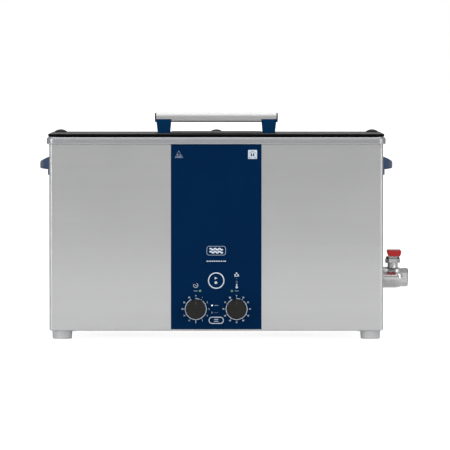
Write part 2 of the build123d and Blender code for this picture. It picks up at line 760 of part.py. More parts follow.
with BuildPart() as start_key:
    with BuildSketch(front_plane(KEY_BACK)):
        with Locations((0, START_Z)):
            Circle(START_R)
    extrude(amount=KEY_BACK - KEY_FACE)
    fillet(start_key.faces().sort_by(Axis.Y)[0].edges(), 0.4)
    with BuildSketch(front_plane(KEY_BACK + 1.2)):
        with Locations((0, START_Z)):
            Circle(START_R + 1.8)
    extrude(amount=1.2)
    with BuildSketch(front_plane(KEY_STEM_END)):
        with Locations((0, START_Z)):
            Circle(3)
    extrude(amount=KEY_STEM_END - KEY_BACK - 1.2)
finish(start_key, "start_key")

with BuildPart() as mode_key:
    with BuildSketch(front_plane(KEY_BACK)):
        with Locations((0, MODE_Z)):
            RectangleRounded(MODE_W, MODE_H, MODE_H / 2 - 0.3)
    extrude(amount=KEY_BACK - KEY_FACE)
    fillet(mode_key.faces().sort_by(Axis.Y)[0].edges(), 0.4)
    with BuildSketch(front_plane(KEY_BACK + 1.2)):
        with Locations((0, MODE_Z)):
            RectangleRounded(MODE_W + 3, MODE_H + 3, MODE_H / 2)
    extrude(amount=1.2)
    with BuildSketch(front_plane(KEY_STEM_END)):
        with Locations((0, MODE_Z)):
            Circle(3)
    extrude(amount=KEY_STEM_END - KEY_BACK - 1.2)
finish(mode_key, "mode_key")

# ---------------------------------------------------------------- generator electronics

BOARD_Z = 24.0
BOARD_TOP = BOARD_Z + 1.6
CONTROL_PILLARS = [(x, z) for x in (-57, 57) for z in (24, 106)]
BOARD_PILLARS = [(x, y) for x in (-228, -32) for y in (6, 120)]

with BuildPart() as generator_board:
    with BuildSketch(Plane.XY.offset(BOARD_Z)):
        with Locations((-130, 63)):
            Rectangle(210, 130)
    extrude(amount=1.6)
    # Chokes, relays and terminal blocks soldered on.
    with Locations((-100, 15, BOARD_TOP + 8), (-140, 15, BOARD_TOP + 8)):
        Box(28, 20, 16)
    with Locations((-50, 112, BOARD_TOP + 6), (-80, 112, BOARD_TOP + 6)):
        Box(24, 12, 12)
finish(generator_board, "generator_board")

with BuildPart() as heat_sink:
    with BuildSketch(Plane.XZ.offset(-118)):
        with Locations((-198, BOARD_TOP + 20)):
            Rectangle(4, 40)
        for step in range(7):
            with Locations((-214, BOARD_TOP + 2 + 6 * step)):
                Rectangle(30, 2)
    extrude(amount=110)
finish(heat_sink, "heat_sink")

with BuildPart() as power_transistors:
    with Locations(*[(-193.6, y, BOARD_TOP + 14) for y in (25, 50, 75, 100)]):
        Box(4.8, 15, 20)
finish(power_transistors, "power_transistors")

with BuildPart() as output_transformer:
    with Locations((-90, 63, BOARD_TOP + 15)):
        Box(40, 14, 30)
    with Locations((-90, 63, BOARD_TOP + 15)):
        Box(24, 36, 20)
finish(output_transformer, "output_transformer")

with BuildPart() as capacitors:
    with BuildSketch(Plane.XY.offset(BOARD_TOP)):
        with Locations((-50, 20), (-50, 44), (-50, 68), (-178, 15), (-176, 108)):
            Circle(8)
    extrude(amount=22)
finish(capacitors, "capacitors")

with BuildPart() as board_pillars:
    with BuildSketch(Plane.XY.offset(BASE_TOP)):
        with Locations(*BOARD_PILLARS):
            RegularPolygon(3.4, 6)
    extrude(amount=BOARD_Z - BASE_TOP)
    with BuildSketch(front_plane(CONTROL_FACE)):
        with Locations(*CONTROL_PILLARS):
            RegularPolygon(3.4, 6)
    extrude(amount=CONTROL_FACE - FRONT_IN)
finish(board_pillars, "board_pillars")

# ---------------------------------------------------------------- rear: fan and mains inlet

FAN_T = 25.0
FAN_FRONT = PANEL_IN - FAN_T

with BuildPart() as fan_frame:
    with BuildSketch(front_plane(PANEL_IN)):
        with Locations((FAN_X, FAN_Z)):
            RectangleRounded(FAN_SIZE, FAN_SIZE, 4)
            Circle(28.4, mode=Mode.SUBTRACT)
        with Locations(*FAN_SCREWS):
            Circle(SCREW_R + 0.1, mode=Mode.SUBTRACT)
    extrude(amount=FAN_T)
    # Motor mount and its three struts, on the inner side.
    with BuildSketch(front_plane(FAN_FRONT + 2.5)):
        with Locations((FAN_X, FAN_Z)):
            Circle(14)
            with PolarLocations(21, 3, start_angle=90):
                Rectangle(16, 4)
            Circle(2 + SHAFT_GAP, mode=Mode.SUBTRACT)
    extrude(amount=2.5)
finish(fan_frame, "fan_frame")

with BuildPart() as fan_rotor:
    with BuildSketch(front_plane(PANEL_IN - 2)):
        with Locations((FAN_X, FAN_Z)):
            Circle(14.5)
    extrude(amount=18)
    fillet(fan_rotor.faces().sort_by(Axis.Y)[-1].edges(), 1.5)
    with BuildSketch(front_plane(PANEL_IN - 20)):
        with Locations((FAN_X, FAN_Z)):
            Circle(2)
    extrude(amount=4.6)
    for step in range(7):
        with Locations(Location((FAN_X, PANEL_IN - 11, FAN_Z), (0, 360 / 7 * step, 0))):
            with Locations((20.2, 0, 0)):
                Box(13.6, 1.4, 15, rotation=(42, 0, 0))
finish(fan_rotor, "fan_rotor")

with BuildPart() as fan_guard:
    with BuildSketch(front_plane(PANEL_BACK + GUARD_T)):
        with Locations((FAN_X, FAN_Z)):
            for ring in (8.0, 15.0, 22.0, 29.0):
                Circle(ring + 0.8)
                Circle(ring - 0.8, mode=Mode.SUBTRACT)
            with PolarLocations(20, 4, start_angle=45):
                Rectangle(26, 1.8)
        with Locations(*FAN_SCREWS):
            Circle(4.6)
            Circle(SCREW_R + 0.1, mode=Mode.SUBTRACT)
    extrude(amount=GUARD_T)
finish(fan_guard, "fan_guard")

with BuildPart() as mains_inlet:
    with BuildSketch(front_plane(PANEL_BACK + INLET_T)):
        with Locations((INLET_X, 60.5)):
            RectangleRounded(50, 54, 3)
        with Locations(*INLET_SCREWS):
            Circle(SCREW_R + 0.1, mode=Mode.SUBTRACT)
    extrude(amount=INLET_T)
    with BuildSketch(front_plane(PANEL_BACK)):
        with Locations((INLET_X, 60.5)):
            Rectangle(27, 47)
    extrude(amount=24)
    # Socket cavity with its two cut corners.
    with BuildSketch(front_plane(PANEL_BACK + INLET_T)):
        with Locations((INLET_X, SOCKET_Z)):
            Rectangle(24, 16.4)
        with Locations((INLET_X - 12, SOCKET_Z + 8.2), (INLET_X + 12, SOCKET_Z + 8.2)):
            Rectangle(4.6, 4.6, rotation=45, mode=Mode.SUBTRACT)
    extrude(amount=21, mode=Mode.SUBTRACT)
    with BuildSketch(front_plane(PANEL_BACK - 4)):
        with Locations((INLET_X, SOCKET_Z + 2), (INLET_X - 7, SOCKET_Z - 2), (INLET_X + 7, SOCKET_Z - 2)):
            Rectangle(2, 4)
    extrude(amount=15)
    # Fuse drawer slot.
    with BuildSketch(front_plane(PANEL_BACK + INLET_T)):
        with Locations((INLET_X, DRAWER_Z)):
            Rectangle(23, 11)
    extrude(amount=22, mode=Mode.SUBTRACT)
finish(mains_inlet, "mains_inlet")

DRAWER_BACK = PANEL_BACK + 3.4
DRAWER_IN = PANEL_BACK - 17

with BuildPart() as fuse_drawer:
    with BuildSketch(front_plane(DRAWER_BACK)):
        with Locations((INLET_X, DRAWER_Z)):
            RectangleRounded(22.2, 10.2, 0.8)
    extrude(amount=DRAWER_BACK - DRAWER_IN)
    # Fuse trough, open at the top, and the notch for a fingernail.
    with Locations((INLET_X, (DRAWER_IN + 1.5 + PANEL_BACK - 2) / 2, DRAWER_Z + 1.6)):
        Box(20.6, PANEL_BACK - 2 - DRAWER_IN - 1.5, 7.0, mode=Mode.SUBTRACT)
    with Locations((INLET_X, DRAWER_BACK, DRAWER_Z)):
        Box(9, 2.4, 3.4, mode=Mode.SUBTRACT)
finish(fuse_drawer, "fuse_drawer")

with BuildPart() as fuses:
    with BuildSketch(side_plane(INLET_X - 10)):
        with Locations((DRAWER_IN + 4.6, DRAWER_Z + 0.7), (DRAWER_IN + 10.6, DRAWER_Z + 0.7)):
            Circle(2.6)
    extrude(amount=20)
finish(fuses, "fuses")

# ---------------------------------------------------------------- lid

BUMPER_Y = 72.0
BUMPER_R = 10.0
BUMPER_H = 4.8
BUMPER_WALL = 1.4
BUMPER_BALL = (BUMPER_R**2 + (BUMPER_H - BUMPER_WALL) ** 2) / (2 * (BUMPER_H - BUMPER_WALL))
BUMPER_SPOTS = [(-251.5, BUMPER_Y), (0.0, BUMPER_Y), (251.5, BUMPER_Y)]
POST_W = 24.6
POST_D = 22.0
POST_TOP = 346.4

with BuildPart() as lid_panel:
    with BuildSketch(Plane.XY.offset(LID_LOW)):
        RectangleRounded(LID_W, LID_D, LID_R)
    extrude(amount=LID_TOP - LID_LOW)
    fillet(lid_panel.faces().sort_by(Axis.Z)[-1].edges(), 0.9)
    # Raised field between the posts.
    with BuildSketch(Plane.XY.offset(LID_TOP - 1)):
        with Locations((0, 10)):
            RectangleRounded(FIELD_W, 250, 18)
    extrude(amount=FIELD_H + 1)
    fillet(lid_panel.faces().sort_by(Axis.Z)[-1].edges(), 1.1)
    with BuildSketch(Plane.XY.offset(LID_TOP)):
        with Locations((0, BUMPER_Y)):
            Circle(BUMPER_R + 1.4)
    extrude(amount=FIELD_H, mode=Mode.SUBTRACT)
    # Hollow underside with a locating rib that drops into the tank.
    with BuildSketch(Plane.XY.offset(LID_LOW)):
        RectangleRounded(494, 289, 35)
    extrude(amount=1.6, mode=Mode.SUBTRACT)
    with BuildSketch(Plane.XY.offset(RIM_TOP - 8)):
        RectangleRounded(500, 295, 38)
        RectangleRounded(494, 289, 35, mode=Mode.SUBTRACT)
    extrude(amount=LID_LOW - RIM_TOP + 8)
    with BuildSketch(Plane.XY.offset(LID_LOW - 1)):
        with Locations((-POST_X, 0), (POST_X, 0)):
            Circle(2.6)
    extrude(amount=8, mode=Mode.SUBTRACT)
finish(lid_panel, "lid_panel")

BAR_WALL = 1.5
BAR_TOP_R = 5.6
BAR_LOW_R = 2.4


def bar_section(x, inset=0.0):
    """Section of the handle bar at an X: flat front and back, full round shoulders above."""
    half = BAR_R - inset
    with BuildSketch(side_plane(x)) as section:
        with Locations((0, BAR_Z)):
            Rectangle(2 * half, 2 * half)
        fillet(section.vertices().sort_by(Axis.Y)[-2:], BAR_TOP_R - inset)
        fillet(section.vertices().sort_by(Axis.Y)[:2], BAR_LOW_R - inset)
    return section.sketch


with BuildPart() as handle_posts:
    for side in (-1, 1):
        with BuildSketch(Plane.XY.offset(LID_TOP)):
            with Locations((side * (POST_X - 0.4), 0)):
                RectangleRounded(POST_W - 4.4, POST_D - 2, 4)
        with BuildSketch(Plane.XY.offset(POST_TOP)):
            with Locations((side * POST_X, 0)):
                RectangleRounded(POST_W, POST_D, 4)
        loft()
    extrude(bar_section(-120), amount=240, mode=Mode.SUBTRACT)
    with BuildSketch(Plane.XY.offset(LID_TOP)):
        with Locations((-POST_X, 0), (POST_X, 0)):
            Circle(2.4)
    extrude(amount=20, mode=Mode.SUBTRACT)
finish(handle_posts, "handle_posts")

with BuildPart() as handle_bar:
    extrude(bar_section(-BAR_L / 2), amount=BAR_L)
    extrude(bar_section(-BAR_L / 2, BAR_WALL), amount=BAR_L, mode=Mode.SUBTRACT)
    with BuildSketch(Plane.XY.offset(BAR_Z - BAR_R - 1)):
        with Locations((-POST_X, 0), (POST_X, 0)):
            Circle(2.4)
    extrude(amount=4, mode=Mode.SUBTRACT)
finish(handle_bar, "handle_bar")

with BuildPart() as handle_plugs:
    for side in (-1, 1):
        extrude(bar_section(side * BAR_L / 2), amount=side * 2.2)
        extrude(bar_section(side * (BAR_L / 2 - 4), BAR_WALL), amount=side * 4)
    tips = handle_plugs.faces().sort_by(Axis.X)
    fillet([*tips[0].edges(), *tips[-1].edges()], 1.6)
finish(handle_plugs, "handle_plugs")

with BuildPart() as lid_bumpers:
    with BuildSketch(Plane.XY.offset(LID_TOP)):
        with Locations(*BUMPER_SPOTS):
            Circle(BUMPER_R)
    extrude(amount=BUMPER_H)
    with BuildPart(mode=Mode.INTERSECT):
        with Locations(*[(x, y, LID_TOP + BUMPER_H - BUMPER_BALL) for x, y in BUMPER_SPOTS]):
            Sphere(BUMPER_BALL)
finish(lid_bumpers, "lid_bumpers")

with BuildPart() as lid_screws:
    with BuildSketch(Plane.XY.offset(LID_LOW)):
        with Locations((-POST_X, 0), (POST_X, 0)):
            Circle(4.6)
    extrude(amount=1.6)
    with BuildSketch(Plane.XY.offset(LID_LOW + 1.6)):
        with Locations((-POST_X, 0), (POST_X, 0)):
            Circle(2.4)
    extrude(amount=BAR_Z - BAR_R + 1 - LID_LOW - 1.6)
finish(lid_screws, "lid_screws")
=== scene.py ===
"""Looks for a bench-top ultrasonic cleaner: finishes, printed films, small fittings, studio and camera.

Lengths are millimetres until a mesh is made. +Z is up, the front faces -Y, the drain is on the +X end.
"""
import json
import math

import bmesh
import bpy
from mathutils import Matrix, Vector


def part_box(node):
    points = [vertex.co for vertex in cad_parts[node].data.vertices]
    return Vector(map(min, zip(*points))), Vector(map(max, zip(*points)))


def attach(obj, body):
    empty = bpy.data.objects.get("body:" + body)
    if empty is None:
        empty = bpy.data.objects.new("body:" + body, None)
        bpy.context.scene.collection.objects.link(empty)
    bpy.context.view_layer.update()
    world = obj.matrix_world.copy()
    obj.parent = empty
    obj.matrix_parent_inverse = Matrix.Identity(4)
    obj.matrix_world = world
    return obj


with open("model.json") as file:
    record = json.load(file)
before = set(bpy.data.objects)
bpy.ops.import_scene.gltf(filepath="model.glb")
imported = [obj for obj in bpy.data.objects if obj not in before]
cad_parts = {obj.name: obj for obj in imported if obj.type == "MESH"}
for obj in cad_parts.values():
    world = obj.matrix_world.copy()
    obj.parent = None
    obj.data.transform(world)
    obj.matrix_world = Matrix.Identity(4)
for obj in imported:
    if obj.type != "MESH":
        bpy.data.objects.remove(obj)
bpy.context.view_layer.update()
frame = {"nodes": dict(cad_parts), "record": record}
nodes = frame["nodes"]
scene = bpy.context.scene

MM = 0.001


# ---------------------------------------------------------------- places read from the frame

def low(node):
    """Lowest corner of a CAD node, in millimetres."""
    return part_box(node)[0] / MM


def high(node):
    """Highest corner of a CAD node, in millimetres."""
    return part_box(node)[1] / MM


def middle(node):
    """Centre of a CAD node's box, in millimetres."""
    return (low(node) + high(node)) / 2


FOIL_FACE = low("control_foil").y
START_FACE = low("start_key").y
START_SPOT = middle("start_key")
MODE_FACE = low("mode_key").y
MODE_SPOT = middle("mode_key")
TIMER_SPOT = middle("timer_knob")
TEMPERATURE_SPOT = middle("temperature_knob")
KNOB_FACE = low("timer_knob").y
PANEL_FACE = high("rear_panel").y
GRIP_OUTER = high("right_grip").x * MM

FORWARD = (0, -1, 0)
REARWARD = (0, 1, 0)
UPWARD = (0, 0, 1)
OUT_OF_DRAIN = (1, 0, 0)

# ---------------------------------------------------------------- shader building


def place(tree, kind, sockets=(), **properties):
    """Adds one shader node, sets its properties, then fills its sockets with values or links."""
    node = tree.nodes.new("ShaderNode" + kind)
    for name, value in properties.items():
        setattr(node, name, value)
    for name, value in dict(sockets).items():
        if isinstance(value, bpy.types.NodeSocket):
            tree.links.new(value, node.inputs[name])
        else:
            node.inputs[name].default_value = value
    return node


def calc(tree, operation, *values, clamp=False):
    """One Math node's result."""
    sockets = dict(enumerate(values))
    return place(tree, "Math", sockets, operation=operation, use_clamp=clamp).outputs[0]


def spread(tree, value, out_low, out_high, in_low=0.0, in_high=1.0):
    """A value carried from one range to another, held at the ends."""
    sockets = {"Value": value, "From Min": in_low, "From Max": in_high, "To Min": out_low, "To Max": out_high}
    return place(tree, "MapRange", sockets).outputs["Result"]


def blend_colours(tree, mask, first, second, mode="MIX"):
    """Two colours mixed by a mask."""
    node = place(tree, "Mix", {0: mask, 6: first, 7: second}, data_type="RGBA", blend_type=mode)
    return node.outputs[2]


def effect(name, inputs, outputs):
    """A shader node group with named sockets. Returns the group, its entry node and its exit node."""
    group = bpy.data.node_groups.new(name, "ShaderNodeTree")
    for label, kind, value in inputs:
        socket = group.interface.new_socket(label, in_out="INPUT", socket_type="NodeSocket" + kind)
        socket.default_value = value
    for label, kind in outputs:
        group.interface.new_socket(label, in_out="OUTPUT", socket_type="NodeSocket" + kind)
    return group, group.nodes.new("NodeGroupInput"), group.nodes.new("NodeGroupOutput")


def noise(tree, vector, scale, detail=3.0, roughness=0.55, distortion=0.0):
    """Value of a noise texture."""
    sockets = {"Vector": vector, "Scale": scale, "Detail": detail, "Roughness": roughness,
               "Distortion": distortion}
    return place(tree, "TexNoise", sockets).outputs["Fac"]


def stretched(tree, vector, factors):
    """Coordinates multiplied axis by axis."""
    return place(tree, "VectorMath", {0: vector, 1: factors}, operation="MULTIPLY").outputs[0]


def own_spot(tree):
    """Where a point lies in its piece's own coordinates."""
    return place(tree, "TexCoord").outputs["Object"]


def build_brushed_lines():
    """Long fine lines, and broad soft bands, left by a belt."""
    group, entry, leave = effect(
        "Brushed lines",
        [("Stretch", "Vector", (60.0, 60.0, 3000.0)), ("Band Stretch", "Vector", (0.4, 0.4, 60.0))],
        [("Lines", "Float"), ("Bands", "Float")])
    spot = own_spot(group)
    lines = noise(group, stretched(group, spot, entry.outputs["Stretch"]), 1.0, 4.0, 0.7)
    bands = noise(group, stretched(group, spot, entry.outputs["Band Stretch"]), 1.0, 3.0, 0.6)
    group.links.new(lines, leave.inputs["Lines"])
    group.links.new(bands, leave.inputs["Bands"])
    return group


def build_edge_catch():
    """Finds outer edges within a width, broken up a little, for wear and for light catching on them."""
    group, entry, leave = effect(
        "Edge catch", [("Width", "Float", 0.0006), ("Breakup", "Float", 0.5)], [("Mask", "Float")])
    around = place(group, "Bevel", {"Radius": entry.outputs["Width"]}, samples=6).outputs["Normal"]
    flat = place(group, "NewGeometry").outputs["Normal"]
    alike = place(group, "VectorMath", {0: around, 1: flat}, operation="DOT_PRODUCT").outputs["Value"]
    edge = calc(group, "MULTIPLY", calc(group, "SUBTRACT", 1.0, alike), 6.0, clamp=True)
    spot = own_spot(group)
    patches = spread(group, noise(group, spot, 140.0, 4.0, 0.6), 0.0, 1.0, 0.38, 0.62)
    kept = spread(group, entry.outputs["Breakup"], 1.0, 0.0)
    cover = calc(group, "MAXIMUM", patches, kept)
    group.links.new(calc(group, "MULTIPLY", edge, cover), leave.inputs["Mask"])
    return group


def build_handling_marks():
    """Soft cloudy patches where hands and cloths have been, and thin wipe streaks."""
    group, entry, leave = effect(
        "Handling marks", [("Size", "Float", 9.0)], [("Clouds", "Float"), ("Streaks", "Float")])
    spot = own_spot(group)
    clouds = spread(group, noise(group, spot, entry.outputs["Size"], 5.0, 0.62, 0.6), 0.0, 1.0, 0.35, 0.68)
    turned = place(group, "VectorRotate", {"Vector": spot, "Angle": 0.5}, rotation_type="Y_AXIS").outputs[0]
    long_way = stretched(group, turned, (30.0, 30.0, 900.0))
    streaks = spread(group, noise(group, long_way, 1.0, 2.0, 0.5), 0.0, 1.0, 0.62, 0.72)
    group.links.new(clouds, leave.inputs["Clouds"])
    group.links.new(streaks, leave.inputs["Streaks"])
    return group


def build_settled_dust():
    """Thin dust on what faces up."""
    group, entry, leave = effect("Settled dust", [("Amount", "Float", 0.2)], [("Mask", "Float")])
    facing = place(group, "SeparateXYZ", {0: place(group, "NewGeometry").outputs["Normal"]}).outputs["Z"]
    up = spread(group, facing, 0.0, 1.0, 0.55, 0.95)
    spot = own_spot(group)
    patches = spread(group, noise(group, spot, 38.0, 6.0, 0.66), 0.0, 1.0, 0.42, 0.7)
    specks = spread(group, noise(group, spot, 900.0, 2.0, 0.5), 0.0, 1.0, 0.66, 0.74)
    cover = calc(group, "MAXIMUM", patches, specks)
    amount = calc(group, "MULTIPLY", calc(group, "MULTIPLY", up, cover), entry.outputs["Amount"])
    group.links.new(amount, leave.inputs["Mask"])
    return group


def build_moulded_grain():
    """The fine leather-like grain that a spark-eroded mould leaves on plastic and rubber."""
    group, entry, leave = effect("Moulded grain", [("Size", "Float", 1400.0)], [("Height", "Float")])
    spot = own_spot(group)
    cells = place(group, "TexVoronoi", {"Vector": spot, "Scale": entry.outputs["Size"]},
                  feature="SMOOTH_F1").outputs["Distance"]
    fine = noise(group, spot, calc(group, "MULTIPLY", entry.outputs["Size"], 1.7), 3.0, 0.6)
    group.links.new(calc(group, "MULTIPLY_ADD", cells, 0.7, fine), leave.inputs["Height"])
    return group


def build_fine_scratches():
    """Hairline scratches in two crossing directions."""
    group, entry, leave = effect("Fine scratches", [("Amount", "Float", 0.5)], [("Mask", "Float")])
    spot = own_spot(group)
    found = []
    for angle, long_way in ((0.35, (1800.0, 25.0, 1800.0)), (-0.8, (25.0, 1800.0, 25.0))):
        turned = place(group, "VectorRotate", {"Vector": spot, "Angle": angle},
                       rotation_type="Z_AXIS").outputs[0]
        line = noise(group, stretched(group, turned, long_way), 1.0, 1.0, 0.5)
        found.append(spread(group, line, 0.0, 1.0, 0.70, 0.74))
    both = calc(group, "MAXIMUM", *found)
    group.links.new(calc(group, "MULTIPLY", both, entry.outputs["Amount"]), leave.inputs["Mask"])
    return group


BRUSHED_LINES = build_brushed_lines()
EDGE_CATCH = build_edge_catch()
HANDLING_MARKS = build_handling_marks()
SETTLED_DUST = build_settled_dust()
MOULDED_GRAIN = build_moulded_grain()
FINE_SCRATCHES = build_fine_scratches()


def use(tree, group, **values):
    """Places a shared effect with its own values. Returns its output sockets."""
    node = tree.nodes.new("ShaderNodeGroup")
    node.node_tree = group
    for name, value in values.items():
        node.inputs[name.replace("_", " ")].default_value = value
    return node.outputs


def new_finish(name, **shader_values):
    """A material with a Principled shader and its plain values set on its own sockets."""
    finish = bpy.data.materials.new(name)
    finish.use_nodes = True
    tree = finish.node_tree
    shader = tree.nodes["Principled BSDF"]
    for label, value in shader_values.items():
        shader.inputs[label.replace("_", " ")].default_value = value
    return finish, tree, shader


def grey(level):
    """A neutral colour."""
    return (level, level, level, 1.0)


def shaded(colour, share):
    """A share of a colour, at full alpha."""
    return tuple(c * share for c in colour[:3]) + (1.0,)


def feed(tree, shader, colour, roughness):
    """Links the colour and roughness that vary over a surface to its shader."""
    tree.links.new(colour, shader.inputs["Base Color"])
    tree.links.new(roughness, shader.inputs["Roughness"])


def bump(tree, shader, height, strength, distance):
    """Feeds a height to the shader's normal."""
    node = place(tree, "Bump", {"Height": height, "Strength": strength, "Distance": distance})
    tree.links.new(node.outputs["Normal"], shader.inputs["Normal"])


# ---------------------------------------------------------------- finishes

DUST = (0.42, 0.4, 0.37, 1)
PLASTIC_GRAIN = 1400.0


def dusted(tree, colour, amount):
    """A colour under its own share of settled dust."""
    return blend_colours(tree, use(tree, SETTLED_DUST, Amount=amount)["Mask"], colour, DUST)


def brushed_metal(name, bright, dark, rough_low, rough_high, stretch, band_stretch, relief=0.000004,
                  anisotropic=0.0):
    """Metal brushed in one direction, with handling marks and slightly brighter edges, part wear and part
    painted highlight.
    """
    finish, tree, shader = new_finish(name, Metallic=1.0, Anisotropic=anisotropic)
    brushed = use(tree, BRUSHED_LINES, Stretch=stretch, Band_Stretch=band_stretch)
    marks = use(tree, HANDLING_MARKS, Size=7.0)
    edges = use(tree, EDGE_CATCH, Width=0.0004, Breakup=0.3)["Mask"]
    tone = calc(tree, "MULTIPLY_ADD", brushed["Lines"], 0.55, calc(tree, "MULTIPLY", brushed["Bands"], 0.45))
    colour = blend_colours(tree, spread(tree, tone, 0.0, 1.0, 0.3, 0.7), dark, bright)
    # Edges lightened towards pale grey: part wear, part painted highlight.
    colour = blend_colours(tree, calc(tree, "MULTIPLY", edges, 0.35), colour, grey(0.86))
    rough = spread(tree, brushed["Lines"], rough_low, rough_high, 0.25, 0.75)
    rough = calc(tree, "MULTIPLY_ADD", marks["Clouds"], 0.035, rough)
    rough = calc(tree, "MULTIPLY_ADD", marks["Streaks"], 0.03, rough)
    feed(tree, shader, colour, rough)
    bump(tree, shader, brushed["Lines"], 0.5, relief)
    return finish


def satin_anodised(name, bright, dark):
    """Satin anodised tube, brushed along its length under a thin clear film."""
    finish, tree, shader = new_finish(name, Metallic=0.75, Coat_Weight=0.3, Coat_Roughness=0.18)
    brushed = use(tree, BRUSHED_LINES, Stretch=(30.0, 2600.0, 2600.0), Band_Stretch=(1.5, 200.0, 200.0))
    marks = use(tree, HANDLING_MARKS, Size=18.0)
    colour = blend_colours(tree, spread(tree, brushed["Lines"], 0.0, 1.0, 0.3, 0.7), dark, bright)
    rough = calc(tree, "MULTIPLY_ADD", marks["Clouds"], 0.05, spread(tree, brushed["Lines"], 0.28, 0.36))
    feed(tree, shader, colour, rough)
    bump(tree, shader, brushed["Lines"], 0.5, 0.000003)
    return finish


def moulded(name, colour, rough, grain=PLASTIC_GRAIN, relief=0.00001, edge_wear_and_highlight=None, specular=0.5, dust=0.12,
            coat=0.0, coat_rough=0.1):
    """Moulded plastic or rubber: fine grain, cloudy gloss, paler edges from wear and a painted highlight, and
    a little dust.
    """
    finish, tree, shader = new_finish(name, Metallic=0.0, Specular_IOR_Level=specular, Coat_Weight=coat,
                                      Coat_Roughness=coat_rough)
    edge_wear_and_highlight = edge_wear_and_highlight or tuple(min(1.0, c * 1.9 + 0.02) for c in colour[:3]) + (1.0,)
    marks = use(tree, HANDLING_MARKS, Size=22.0)
    edges = use(tree, EDGE_CATCH, Width=0.0005, Breakup=0.8)["Mask"]
    base = blend_colours(tree, marks["Clouds"], colour, shaded(colour, 0.86))
    # Edges take the paler colour: part wear, part painted highlight.
    base = blend_colours(tree, calc(tree, "MULTIPLY", edges, 0.45), base, edge_wear_and_highlight)
    roughness = spread(tree, marks["Clouds"], rough - 0.04, rough + 0.05)
    roughness = calc(tree, "MULTIPLY_ADD", marks["Streaks"], 0.04, roughness)
    feed(tree, shader, dusted(tree, base, dust), roughness)
    bump(tree, shader, use(tree, MOULDED_GRAIN, Size=grain)["Height"], 0.35, relief)
    return finish


def grip_with_painted_highlight(name, colour, painted_highlight):
    """Moulded blue of the carrying grips, with a pale grey painted highlight on the outermost face."""
    finish, tree, shader = new_finish(name, Metallic=0.0, Specular_IOR_Level=0.3)
    marks = use(tree, HANDLING_MARKS, Size=22.0)
    across = calc(tree, "ABSOLUTE", place(tree, "SeparateXYZ", {0: own_spot(tree)}).outputs["X"])
    # The outermost 6.5 mm of each grip turns pale grey: a painted highlight.
    reach = spread(tree, across, 0.0, 0.8, GRIP_OUTER - 0.0065, GRIP_OUTER)
    base = blend_colours(tree, marks["Clouds"], colour, shaded(colour, 0.86))
    base = blend_colours(tree, reach, base, painted_highlight)
    feed(tree, shader, dusted(tree, base, 0.06), spread(tree, marks["Clouds"], 0.46, 0.55))
    bump(tree, shader, use(tree, MOULDED_GRAIN, Size=PLASTIC_GRAIN)["Height"], 0.35, 0.00001)
    return finish


def plated_metal(name, colour, rough, edge_wear_and_highlight, relief=0.000006):
    """Plated or turned metal: smooth, with hairline scratches and paler edges, part wear to the metal below
    and part painted highlight.
    """
    finish, tree, shader = new_finish(name, Metallic=1.0)
    scratches = use(tree, FINE_SCRATCHES, Amount=0.6)["Mask"]
    marks = use(tree, HANDLING_MARKS, Size=40.0)
    edges = use(tree, EDGE_CATCH, Width=0.0004, Breakup=0.85)["Mask"]
    base = blend_colours(tree, marks["Clouds"], colour, shaded(colour, 0.88))
    # Edges take the worn colour: part wear to the metal below, part painted highlight.
    base = blend_colours(tree, calc(tree, "MULTIPLY", edges, 0.5), base, edge_wear_and_highlight)
    roughness = spread(tree, marks["Clouds"], rough - 0.03, rough + 0.05)
    roughness = calc(tree, "MULTIPLY_ADD", scratches, 0.1, roughness)
    feed(tree, shader, base, roughness)
    bump(tree, shader, scratches, -0.3, relief)
    return finish


def control_film(name, colour):
    """The printed polyester strip on the front: deep even colour under a fine satin texture."""
    finish, tree, shader = new_finish(name, Metallic=0.0, Specular_IOR_Level=0.015)
    marks = use(tree, HANDLING_MARKS, Size=12.0)
    base = blend_colours(tree, marks["Clouds"], colour, shaded(colour, 0.9))
    feed(tree, shader, base, spread(tree, marks["Clouds"], 0.42, 0.5))
    bump(tree, shader, use(tree, MOULDED_GRAIN, Size=3200.0)["Height"], 0.3, 0.000006)
    return finish


def ink(name, colour):
    """Screen-printed ink, also used for the painted lamp glow: flat colour with a slightly uneven density."""
    finish, tree, shader = new_finish(name, Metallic=0.0, Roughness=0.55, Specular_IOR_Level=0.2)
    density = spread(tree, noise(tree, own_spot(tree), 700.0, 3.0, 0.6), 0.0, 0.16, 0.35, 0.7)
    base = blend_colours(tree, density, colour, shaded(colour, 0.78))
    tree.links.new(base, shader.inputs["Base Color"])
    return finish


def lamp_lens(name, colour, strength):
    """A moulded indicator lens, lit from behind and slightly cloudy."""
    finish, tree, shader = new_finish(name, Metallic=0.0, Roughness=0.18, Emission_Strength=strength)
    base = blend_colours(tree, noise(tree, own_spot(tree), 900.0, 2.0, 0.5), colour, shaded(colour, 0.8))
    tree.links.new(base, shader.inputs["Base Color"])
    tree.links.new(base, shader.inputs["Emission Color"])
    return finish


def circuit_board(name):
    """Green solder mask with paler tracks under it and tinned pads."""
    finish, tree, shader = new_finish(name, Metallic=0.0, Coat_Weight=0.4, Coat_Roughness=0.2)
    spot = own_spot(tree)
    cells = place(tree, "TexVoronoi", {"Vector": spot, "Scale": 210.0, "Randomness": 0.75},
                  distance="CHEBYCHEV", feature="F1")
    tracks = spread(tree, cells.outputs["Distance"], 0.0, 1.0, 0.5, 0.52)
    pads = spread(tree, cells.outputs["Distance"], 1.0, 0.0, 0.1, 0.12)
    base = blend_colours(tree, tracks, (0.008, 0.085, 0.03, 1), (0.02, 0.16, 0.06, 1))
    base = blend_colours(tree, pads, base, (0.6, 0.58, 0.52, 1))
    tree.links.new(calc(tree, "MULTIPLY", pads, 0.9), shader.inputs["Metallic"])
    feed(tree, shader, base, spread(tree, tracks, 0.34, 0.28))
    bump(tree, shader, tracks, 0.6, 0.00004)
    return finish


